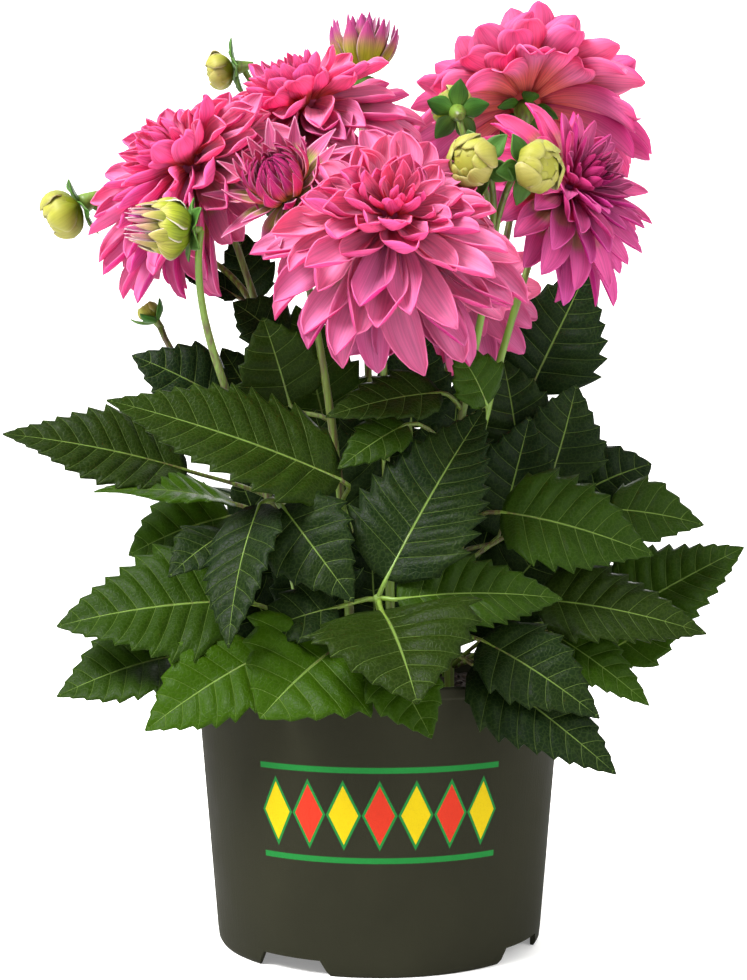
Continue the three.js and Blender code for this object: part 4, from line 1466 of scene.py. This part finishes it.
@dataclass
class Course:
    """A curve as a fine run of points, read by its length."""

    points: list[Vector]

    def __post_init__(self) -> None:
        """Measures the run."""
        self.marks = [0.0]
        for a, b in zip(self.points, self.points[1:], strict=False):
            self.marks.append(self.marks[-1] + (b - a).length)

    @classmethod
    def bent(cls, *handles: Vector) -> "Course":
        """Draws a Bezier curve.

        Args:
            handles: The curve's handles, three or four.

        Returns:
            The curve.
        """
        points = []
        for i in range(61):
            row = list(handles)
            while len(row) > 1:
                row = [a.lerp(b, i / 60) for a, b in zip(row, row[1:], strict=False)]
            points.append(row[0])
        return cls(points)

    def joined(self, other: "Course") -> "Course":
        """This curve with another one that starts at its end."""
        return Course(self.points + other.points[1:])

    def at(self, share: float) -> Vector:
        """Finds a point of the curve.

        Args:
            share: The share of the length.

        Returns:
            The point.
        """
        wanted = share * self.marks[-1]
        for i in range(1, len(self.marks)):
            if self.marks[i] >= wanted:
                step = (wanted - self.marks[i - 1]) / (self.marks[i] - self.marks[i - 1])
                return self.points[i - 1].lerp(self.points[i], step)
        return self.points[-1].copy()

    def along(self, share: float) -> Vector:
        """The direction at a share of the length."""
        low, high = max(0.0, share - 0.01), min(1.0, share + 0.01)
        return (self.at(high) - self.at(low)).normalized()

    def sampled(self, steps: int) -> list[Vector]:
        """Points at even steps along the whole curve."""
        return [self.at(i / steps) for i in range(steps + 1)]


def stem_course(start: Vector, leaving: Vector, head: Head) -> Course:
    """The curve of a stem up to the cup under its head.

    Args:
        start: Where it leaves the soil or another stem.
        leaving: The direction that it leaves in.
        head: The head.

    Returns:
        The curve.
    """
    axis = Vector(head.axis).normalized()
    neck = Vector(head.at) + axis * (CUP_TOP - 4)
    reach = (start - neck).length
    under = neck - axis * (0.1 * reach + 8) - UP * (0.16 * reach)
    upper = Vector(head.handle) if head.handle else under
    return Course.bent(start, start + leaving * (0.42 * reach), upper, neck)


@dataclass
class LeafBlade:
    """A leaf's blade: folded along an arched midrib, quilted between its side ribs, and toothed."""

    leaf: Leaf
    seed: float
    steps: tuple[float, ...] = (0.0, 0.26, 0.52, 0.76, 0.9)
    peak: float = 0.76
    notch: float = 0.88
    point: float = 1.06
    pitch: float = 9.5
    columns: int = 12
    wave: float = 0.05
    quilt: float = 0.035
    droop: float = 0.04

    def __post_init__(self) -> None:
        """Works out the midrib and the number of teeth on each side."""
        self.base, self.tip = Vector(self.leaf.base), Vector(self.leaf.tip)
        self.up = Vector(self.leaf.face).normalized()
        self.middle = self.base.lerp(self.tip, 0.45) + self.up * self.leaf.arch
        length = (self.tip - self.base).length
        self.teeth = max(5, min(11, round(length / self.pitch)))

    def rib(self, t: float) -> Vector:
        """The midrib's point."""
        first, second = self.base.lerp(self.middle, t), self.middle.lerp(self.tip, t)
        return first.lerp(second, t)

    def rib_along(self, t: float) -> Vector:
        """The midrib's direction."""
        first, second = self.middle - self.base, self.tip - self.middle
        return first.lerp(second, t).normalized()

    def rows(self) -> list[Pair]:
        """Each row of the blade from root to tip: its share of the length and its count of teeth."""
        pitch = 0.94 / self.teeth
        made = [(0.0, -0.5), (0.03, -0.2)]
        for k in range(self.teeth):
            made += [(0.06 + (k + s) * pitch, k + s) for s in self.steps]
        return [row for row in made if row[0] < 0.985] + [(1.0, self.teeth)]

    def edge(self, count: float) -> float:
        """The toothed edge, which swells slowly up to each tooth's tip and then falls sharply back.

        Args:
            count: The place along the edge, counted in teeth.

        Returns:
            How far the edge stands out, as a share of the plain outline.
        """
        if count < 0:
            return 1.0
        phase = count % 1
        if phase <= self.peak:
            return lerp(self.notch, self.point, (phase / self.peak) ** 1.3)
        return lerp(self.point, self.notch, (phase - self.peak) / (1 - self.peak))

    def spot(self, u: float, share: float, count: float) -> Vector:
        """A point of the blade.

        Args:
            u: The place across, from -1 to 1.
            share: The row's share of the length.
            count: The row's count of teeth.

        Returns:
            The point.
        """
        side, out = (1 if u >= 0 else -1), abs(u)
        swept = (self.edge(count) - 0.9) / self.teeth * out**5
        t = min(1.0, share + (0.42 * out * math.sqrt(share) + 1.6 * swept) * (1 - share))
        along = self.rib_along(t)
        across = along.cross(self.up).normalized()
        normal = across.cross(along)
        outline = math.sin(math.pi * min(1, t) ** 0.62) ** 0.9 if 0 < t < 1 else 0.0
        jag = 1 + (self.edge(count) - 1) * out**4
        wide = 0.54 * self.leaf.width * max(outline, 0.03 * (1 - share) + 0.012) * out * jag
        fold = math.radians(LEAF_FOLD)
        # Wave, quilting and droop are shares of the leaf's width, and fade with the outline.
        size = self.leaf.width * outline
        wave = self.wave * math.sin(9 * t + 2 * side + self.leaf.base[0])
        pillow = abs(math.sin(math.pi * (count - self.peak))) ** 0.7 * math.sin(math.pi * out**0.8)
        quilt = self.quilt * (pillow - 0.5) * min(1, 3 * out)
        lift = wide * math.sin(fold) + size * (wave * out**1.4 + quilt - self.droop * out**3)
        return self.rib(t) + across * (side * wide * math.cos(fold)) + normal * lift

    def draw(self, bm: Mesh) -> None:
        """Adds the blade to a mesh.

        Args:
            bm: The mesh.
        """
        rows = self.rows()
        spots = []
        for vert, (u, v) in blade_grid(bm, self.columns, len(rows) - 1):
            share, count = rows[round(v * (len(rows) - 1))]
            vert.co = self.spot(u, share, count)
            spots.append((vert, (u, max(0.0, count) / TEETH_TO_ONE)))
        shade = self.leaf.shade.value + 0.12 * jitter(self.seed, 5)
        map_blade(bm, spots, age=0.0, tone=shade)


@dataclass
class LeafyShoot:
    """A shoot: its main and side stems, its leaves on their stalks, and the green cups under its heads."""

    name: str
    shoot: Shoot
    seed: int
    leaf_thickness: float = 0.6
    bract_thickness: float = 0.7
    stem_sides: int = 10
    stalk_sides: int = 8
    cup_sides: int = 14
    ring_step: float = 7.0
    joint_swell: float = 0.1
    bract_count: int = 5

    def stem(self) -> Course:
        """The main stem, which starts straight down in the soil."""
        foot = Vector((*self.shoot.root, SOIL_TOP))
        sunk = foot - UP * (HOLE_DEPTH - GAP)
        return Course([sunk, foot]).joined(stem_course(foot, UP, HEADS[self.shoot.heads[0][0]]))

    def draw_stem(self, bm: Mesh, course: Course, thick: float, thin: float) -> None:
        """Adds a stem that swells a little at its joints.

        Args:
            bm: The mesh.
            course: The stem's curve.
            thick: Its radius at the start.
            thin: Its radius at the end.
        """
        steps = max(6, round(course.marks[-1] / self.ring_step))
        radii = []
        for i in range(steps + 1):
            joint = ((i / steps * 5 + 0.5) % 1 - 0.5) / 0.08
            swell = 1 + self.joint_swell * math.exp(-(joint**2))
            radii.append(lerp(thick, thin, i / steps) * swell)
        sweep(bm, course.sampled(steps), radii, self.stem_sides)

    def draw_leaf(self, stems: Mesh, blades: Mesh, leaf: Leaf, start: Vector, k: int) -> None:
        """Adds a leaf and its stalk.

        Args:
            stems: The mesh of the stems.
            blades: The mesh of the leaves.
            leaf: The leaf.
            start: Where its stalk leaves the stem.
            k: The leaf's number on its shoot.
        """
        blade = LeafBlade(leaf, 10 * self.seed + k)
        reach = (blade.base - start).length
        lower = start.lerp(blade.base, 0.3) + UP * (0.14 * reach)
        inner = blade.base - blade.rib_along(0) * (0.3 * reach)
        stalk = Course.bent(start, lower, inner, blade.base)
        rib = [blade.rib(t / 8) - blade.up * (0.35 - 0.2 * t / 8) for t in range(1, 8)]
        steps = max(4, round(reach / self.ring_step))
        radii = [STALK_RADIUS * lerp(1, 0.85, i / steps) for i in range(steps + 1)]
        radii += [STALK_RADIUS * lerp(0.72, 0.24, t / 7) for t in range(1, 8)]
        sweep(stems, stalk.sampled(steps) + rib, radii, self.stalk_sides)
        blade.draw(blades)

    def draw_cup(self, stems: Mesh, bracts: Mesh, head: Head) -> None:
        """Adds the green cup under a head: a bowl that narrows down to the stem, and its bracts.

        Args:
            stems: The mesh of the stems.
            bracts: The mesh of the bracts.
            head: The head.
        """
        seat = (0.46 if head.form is Form.BUD else 0.11) * head.radius
        place = head.placer()
        heights = [CUP_TOP - 2.6 * seat, CUP_TOP - 1.5 * seat, CUP_TOP - 0.6 * seat, CUP_TOP]
        radii = [NECK_RADIUS, lerp(NECK_RADIUS, seat, 0.5), seat * 0.95, seat * 1.02]
        sweep(stems, [place(UP * z) for z in heights], radii, self.cup_sides)
        shape = head.bracts
        for i in range(self.bract_count):
            azimuth = 137.5 * self.seed + (i + 0.5) * 360 / self.bract_count
            row = Tier(1, 0.6 * seat, CUP_TOP - 1.0, shape.lean, shape.length, 1.25 * shape.width, 30)
            tilt = 9 * jitter(i, self.seed)
            roll, seed = 6 * jitter(i, 8), i + self.seed
            petal = Petal(row, azimuth, tilt, roll, spoon=12, point=0.9, seed=seed)
            petal.draw(bracts, place, 0.3)

    def build(self, looks: "Looks") -> None:
        """Builds the shoot's stems, leaves and bracts, which all stand for its node.

        Args:
            looks: The finishes.
        """
        stems, blades, bracts = bmesh.new(), new_blades(), new_blades()
        stem = self.stem()
        self.draw_stem(stems, stem, STEM_RADIUS, NECK_RADIUS)
        for name, start in self.shoot.heads:
            head = HEADS[name]
            if start:
                side = stem_course(stem.at(start), stem.along(start), head)
                self.draw_stem(stems, side, NECK_RADIUS, NECK_RADIUS)
            self.draw_cup(stems, bracts, head)
        stalks = [(leaf, self.stalk_start(stem, leaf)) for leaf in self.shoot.leaves]
        for twig in self.shoot.twigs:
            start, end = stem.at(twig.start), Vector(twig.node)
            bend = start.lerp(end, 0.6) - UP * (0.1 * (end - start).length)
            course = Course.bent(start, bend, end)
            self.draw_stem(stems, course, NECK_RADIUS, NECK_RADIUS)
            stalks += [(leaf, course.at(0.97)) for leaf in twig.leaves]
        for k, (leaf, start) in enumerate(stalks):
            self.draw_leaf(stems, blades, leaf, start, k)
        woody = finish_mesh(self.name + "_stems", stems, [looks.stem])
        mount(woody, self.name, "foliage")
        green = finish_mesh(self.name + "_bracts", bracts, looks.petals(BRACTS))
        thicken(green, self.bract_thickness)
        mount(green, self.name, "foliage")
        leafy = finish_mesh(self.name + "_leaves", blades, looks.leaf)
        thicken(leafy, self.leaf_thickness)
        mount(leafy, self.name, "foliage")

    @staticmethod
    def stalk_start(stem: Course, leaf: Leaf) -> Vector:
        """Finds the highest place on a stem from which a leaf's stalk still rises towards the blade.

        Args:
            stem: The stem.
            leaf: The leaf.

        Returns:
            The place.
        """
        start = stem.at(0.12)
        base = Vector(leaf.base)
        for i in range(12, 94):
            point = stem.at(i / 100)
            if point.z <= base.z - 0.4 * math.hypot(base.x - point.x, base.y - point.y):
                start = point
        return start


# Pot and soil


@dataclass
class NurseryPot:
    """The moulded pot: a tapered wall with a rolled lip, a raised floor and a skirt with four notches."""

    segments: int = 160
    notch_foot: float = 21.0
    notch_top: float = 16.0
    drain_radius: float = 6.0
    drain_reach: float = 60.0
    edge_round: float = 0.45
    sharp: float = 24.0

    def profile(self) -> list[Pair]:
        """The wall's outline as radius and height, from the floor's middle round to its upper side."""
        top = POT_HEIGHT - LIP_HEIGHT
        slope = (POT_RIM_RADIUS - POT_BASE_RADIUS) / (top - FOOT_HEIGHT)
        inside_base = POT_BASE_RADIUS - POT_WALL
        inside_rim = POT_RIM_RADIUS - POT_WALL + slope * LIP_HEIGHT
        foot = POT_BASE_RADIUS - FOOT_TUCK
        lip = POT_RIM_RADIUS + LIP_REACH
        return [
            (0, FOOT_HEIGHT),
            (inside_base - FOOT_TUCK / 2, FOOT_HEIGHT),
            (foot - POT_WALL, 0),
            (foot, 0),
            (POT_BASE_RADIUS - FOOT_TUCK / 3, FOOT_TUCK),
            (POT_BASE_RADIUS, FOOT_HEIGHT),
            (POT_RIM_RADIUS, top),
            (lip, top + 1),
            (lip, POT_HEIGHT - 1),
            (lip - 1, POT_HEIGHT),
            (inside_rim, POT_HEIGHT),
            (inside_base, FOOT_HEIGHT + POT_WALL),
            (0, FOOT_HEIGHT + POT_WALL),
        ]

    def shell(self) -> Mesh:
        """The plain wall, spun from its outline, with its sharp rings rounded."""
        bm = spun(self.profile(), self.segments)
        bmesh.ops.recalc_face_normals(bm, faces=bm.faces)
        sharp = math.radians(self.sharp)
        rings = [edge for edge in bm.edges if edge.is_manifold and edge.calc_face_angle() > sharp]
        shape = {"offset": self.edge_round, "segments": 3, "profile": 0.5}
        bmesh.ops.bevel(bm, geom=rings, affect="EDGES", material=-1, **shape)
        return bm

    def cutters(self) -> Mesh:
        """The wedges that cut the skirt's notches and the pins that cut its drain holes."""
        bm = bmesh.new()
        for azimuth in NOTCH_AZIMUTHS:
            turn = Matrix.Rotation(math.radians(azimuth), 4, "Z")
            block = bmesh.ops.create_cube(bm, size=1)["verts"]
            for vert in block:
                high = vert.co.z > 0
                half = self.notch_top if high else self.notch_foot
                reach = POT_BASE_RADIUS + (15 if vert.co.x > 0 else -25)
                side = 1 if vert.co.y > 0 else -1
                vert.co = Vector((reach, side * half, FOOT_HEIGHT - 0.6 if high else -1))
            bmesh.ops.transform(bm, matrix=turn, verts=block)
            matrix = turn @ Matrix.Translation((self.drain_reach, 0, FOOT_HEIGHT))
            pin = {"radius1": self.drain_radius, "radius2": self.drain_radius, "depth": 10}
            bmesh.ops.create_cone(bm, cap_ends=True, segments=32, matrix=matrix, **pin)
        return bm

    def build(self, looks: "Looks") -> None:
        """Builds the pot and lets it stand for its node.

        Args:
            looks: The finishes.
        """
        piece = finish_mesh("nursery_pot", self.shell(), [looks.plastic])
        cutter = finish_mesh("cutter", self.cutters(), [looks.plastic])
        cut = piece.modifiers.new("notches", "BOOLEAN")
        cut.operation, cut.solver, cut.object = "DIFFERENCE", "EXACT", cutter
        view = bpy.context.evaluated_depsgraph_get()
        mesh = bpy.data.meshes.new_from_object(piece.evaluated_get(view))
        piece.modifiers.clear()
        piece.data = mesh
        bpy.data.objects.remove(cutter)
        mesh.shade_smooth()
        mesh.set_sharp_from_angle(angle=math.radians(32))
        mount(piece, "pot", "pot")


@dataclass
class SoilBed:
    """The soil: a plug with a crumbled top, and crumbs and bits of bark that lie loose on it."""

    rings: int = 30
    segments: int = 120
    crumbs: int = 260

    def height(self, x: float, y: float) -> float:
        """The soil's top: the broad lumps of the solid, with clods and crumbs on them.

        Args:
            x: The place to the right.
            y: The place to the back.

        Returns:
            The height there.
        """
        # These lumps are the solid's own.
        lump = 2.2 * math.sin(x * 0.13 + 1) * math.cos(y * 0.11)
        lump += 1.3 * math.sin(x * 0.31 - y * 0.27)
        clods = 1.5 * noise.noise(Vector((x, y, 0)) / 7)
        clods += 0.8 * noise.noise(Vector((x, y, 9)) / 2.6)
        return SOIL_TOP + 0.8 + lump * smooth(math.hypot(x, y), 84, 70) + clods

    def build(self, looks: "Looks") -> None:
        """Builds the soil and lets it stand for its node.

        Args:
            looks: The finishes.
        """
        slope = (POT_RIM_RADIUS - POT_BASE_RADIUS) / (POT_HEIGHT - LIP_HEIGHT - FOOT_HEIGHT)
        bottom = FOOT_HEIGHT + POT_WALL + GAP
        foot = POT_BASE_RADIUS + slope * (bottom - FOOT_HEIGHT) - POT_WALL - 1.7
        rim = POT_BASE_RADIUS + slope * (SOIL_TOP - FOOT_HEIGHT) - POT_WALL - 1.2
        outline = [(0, bottom), (foot, bottom), (rim, SOIL_TOP - 3)]
        outline += [(rim * (1 - i / self.rings), SOIL_TOP) for i in range(self.rings + 1)]
        bm = spun(outline, self.segments)
        for vert in bm.verts:
            if vert.co.z > SOIL_TOP - 1:
                vert.co.z = self.height(vert.co.x, vert.co.y)
        for i in range(self.crumbs):
            self.draw_crumb(bm, i, rim - 4)
        shade_smooth(bm)
        mount(finish_mesh("potting_soil", bm, [looks.soil]), "soil", "soil")

    def draw_crumb(self, bm: Mesh, i: int, reach: float) -> None:
        """Adds one loose crumb, half sunk in the soil.

        Args:
            bm: The soil's mesh.
            i: The crumb's number.
            reach: How far out the crumbs lie.
        """
        spot = polar(GOLDEN_ANGLE * i, reach * math.sqrt((i + 0.5) / self.crumbs), 0)
        spot.x += 6 * jitter(i, 1)
        spot.y += 6 * jitter(i, 2)
        spot.z = self.height(spot.x, spot.y) + 0.2
        size = 1.1 + 1.6 * (jitter(i, 3) + 0.5) ** 3
        flat = Matrix.Diagonal((1.5 + jitter(i, 4), 1.0, 0.6, 1.0))
        turn = Matrix.Rotation(6.3 * jitter(i, 5), 4, (jitter(i, 6), jitter(i, 7), 1))
        matrix = Matrix.Translation(spot) @ turn @ flat
        made = bmesh.ops.create_icosphere(bm, subdivisions=1, radius=size, matrix=matrix)["verts"]
        for k, vert in enumerate(made):
            vert.co += (vert.co - spot) * (0.5 * jitter(i, k))


# Studio


@dataclass
class Looks:
    """The finishes, each made once."""

    made: dict[str, tuple[Material, Material]] = field(default_factory=dict)

    def __post_init__(self) -> None:
        """Makes the finishes that only one kind of piece has."""
        leaf = LeafFinish()
        self.leaf = (leaf.material(False), leaf.material(True))
        self.stem = StemFinish().material()
        self.plastic = MouldedPlastic().material()
        self.soil = SoilFinish().material()

    def petals(self, finish: PetalFinish) -> tuple[Material, Material]:
        """The upper and the lower side of a petal finish."""
        if finish.name not in self.made:
            self.made[finish.name] = (finish.material(False), finish.material(True))
        return self.made[finish.name]


@dataclass
class Studio:
    """The camera at the photograph's angle, a pale backdrop, and soft light from above and both sides.

    A light has its place and its size in metres, and its power in watts.
    """

    camera_at: Triple = (-2.9, -872.0, 230.0)
    lens: float = 61.7
    floor: str = "#ebeae8"
    room: float = 0.62
    ceiling: float = 0.9
    lights: tuple[tuple[str, Triple, float, float], ...] = (
        ("key", (-1.0, -0.75, 1.65), 0.9, 112.0),
        ("fill", (1.2, -1.0, 0.8), 1.0, 18.0),
        ("back", (0.3, 1.2, 1.1), 1.0, 16.0),
    )
    aim: Triple = (0.0, 0.0, 0.26)
    floor_half: float = 5000.0
    floor_front: float = 4000.0
    bend_from: float = 2600.0
    bend_radius: float = 900.0
    wall_top: float = 4000.0

    def build(self) -> None:
        """Sets the camera, the backdrop and the lights."""
        scene = bpy.context.scene
        scene.view_settings.view_transform = "Standard"
        camera = bpy.data.objects.new("camera", bpy.data.cameras.new("camera"))
        camera.data.lens, camera.data.sensor_width = self.lens, 36.0
        camera.data.clip_start, camera.data.clip_end = 0.05, 50.0
        camera.location = Vector(self.camera_at) * METRES
        camera.rotation_euler = (math.radians(90), 0, 0)
        scene.collection.objects.link(camera)
        scene.camera = camera
        self.build_backdrop()
        world = bpy.data.worlds.new("studio")
        scene.world = world
        world.use_nodes = True
        tree = world.node_tree
        sky = tree.nodes["Background"]
        sky.inputs[0].default_value = (1.0, 1.0, 1.0, 1.0)
        # The room's ceiling is brighter than its walls.
        way = put(tree, "ShaderNodeTexCoord").outputs["Generated"]
        height = put(tree, "ShaderNodeSeparateXYZ", {0: way}).outputs["Z"]
        bright = ramped(tree, height, (0.25, 0.7), (self.room, self.ceiling))
        tree.links.new(bright, sky.inputs[1])
        for light in self.lights:
            self.build_light(*light)

    def build_backdrop(self) -> None:
        """A pale floor that curves up into a lit white wall far behind the part."""
        bm = bmesh.new()
        turns = [t * math.pi / 20 for t in range(11)]
        start, radius = self.bend_from, self.bend_radius
        bend = [(start + radius * math.sin(turn), radius - radius * math.cos(turn)) for turn in turns]
        outline = [(-self.floor_front, 0), (-600, 0), (600, 0), *bend, (start + radius, self.wall_top)]
        _, edges = polyline(bm, [(-self.floor_half, y, z) for y, z in outline])
        made = bmesh.ops.extrude_edge_only(bm, edges=edges)["geom"]
        moved = [part for part in made if isinstance(part, Vert)]
        bmesh.ops.translate(bm, vec=(2 * self.floor_half, 0, 0), verts=moved)
        shade_smooth(bm)
        made, tree = new_material("studio_backdrop")
        far = {0: object_place(tree)}
        far = put(tree, "ShaderNodeVectorMath", far, operation="LENGTH").outputs["Value"]
        # The backdrop gives off a little light near the part and more further away.
        links = {
            "Base Color": linear(self.floor),
            "Roughness": 0.8,
            "Emission Color": (1.0, 1.0, 1.0, 1.0),
            "Emission Strength": ramped(tree, far, (0.15, 1.3), (0.25, 0.75), eased=True),
        }
        body = put(tree, "ShaderNodeBsdfPrincipled", links).outputs[0]
        put(tree, "ShaderNodeOutputMaterial", {0: body})
        backdrop = finish_mesh("backdrop", bm, [made])

    def build_light(self, name: str, at: Triple, size: float, power: float) -> None:
        """Adds a square softbox that faces the middle of the part.

        Args:
            name: The light's name.
            at: Its place in metres.
            size: Its width in metres.
            power: Its power in watts.
        """
        lamp = bpy.data.lights.new(name, "AREA")
        lamp.size, lamp.energy = size, power
        made = bpy.data.objects.new(name, lamp)
        made.location = at
        aim = Vector(self.aim) - Vector(at)
        made.rotation_euler = aim.to_track_quat("-Z", "Y").to_euler()
        bpy.context.scene.collection.objects.link(made)


def main() -> None:
    """Builds the studio and each piece."""
    logging.basicConfig(level=logging.INFO, format="%(name)s: %(message)s")
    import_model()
    looks = Looks()
    Studio().build()
    NurseryPot().build(looks)
    SoilBed().build(looks)
    for seed, (name, shoot) in enumerate(SHOOTS.items()):
        LeafyShoot(name, shoot, seed).build(looks)
    for seed, (name, head) in enumerate(HEADS.items()):
        FlowerHead(name, head, seed).build(looks)


if __name__ == "__main__":
    main()
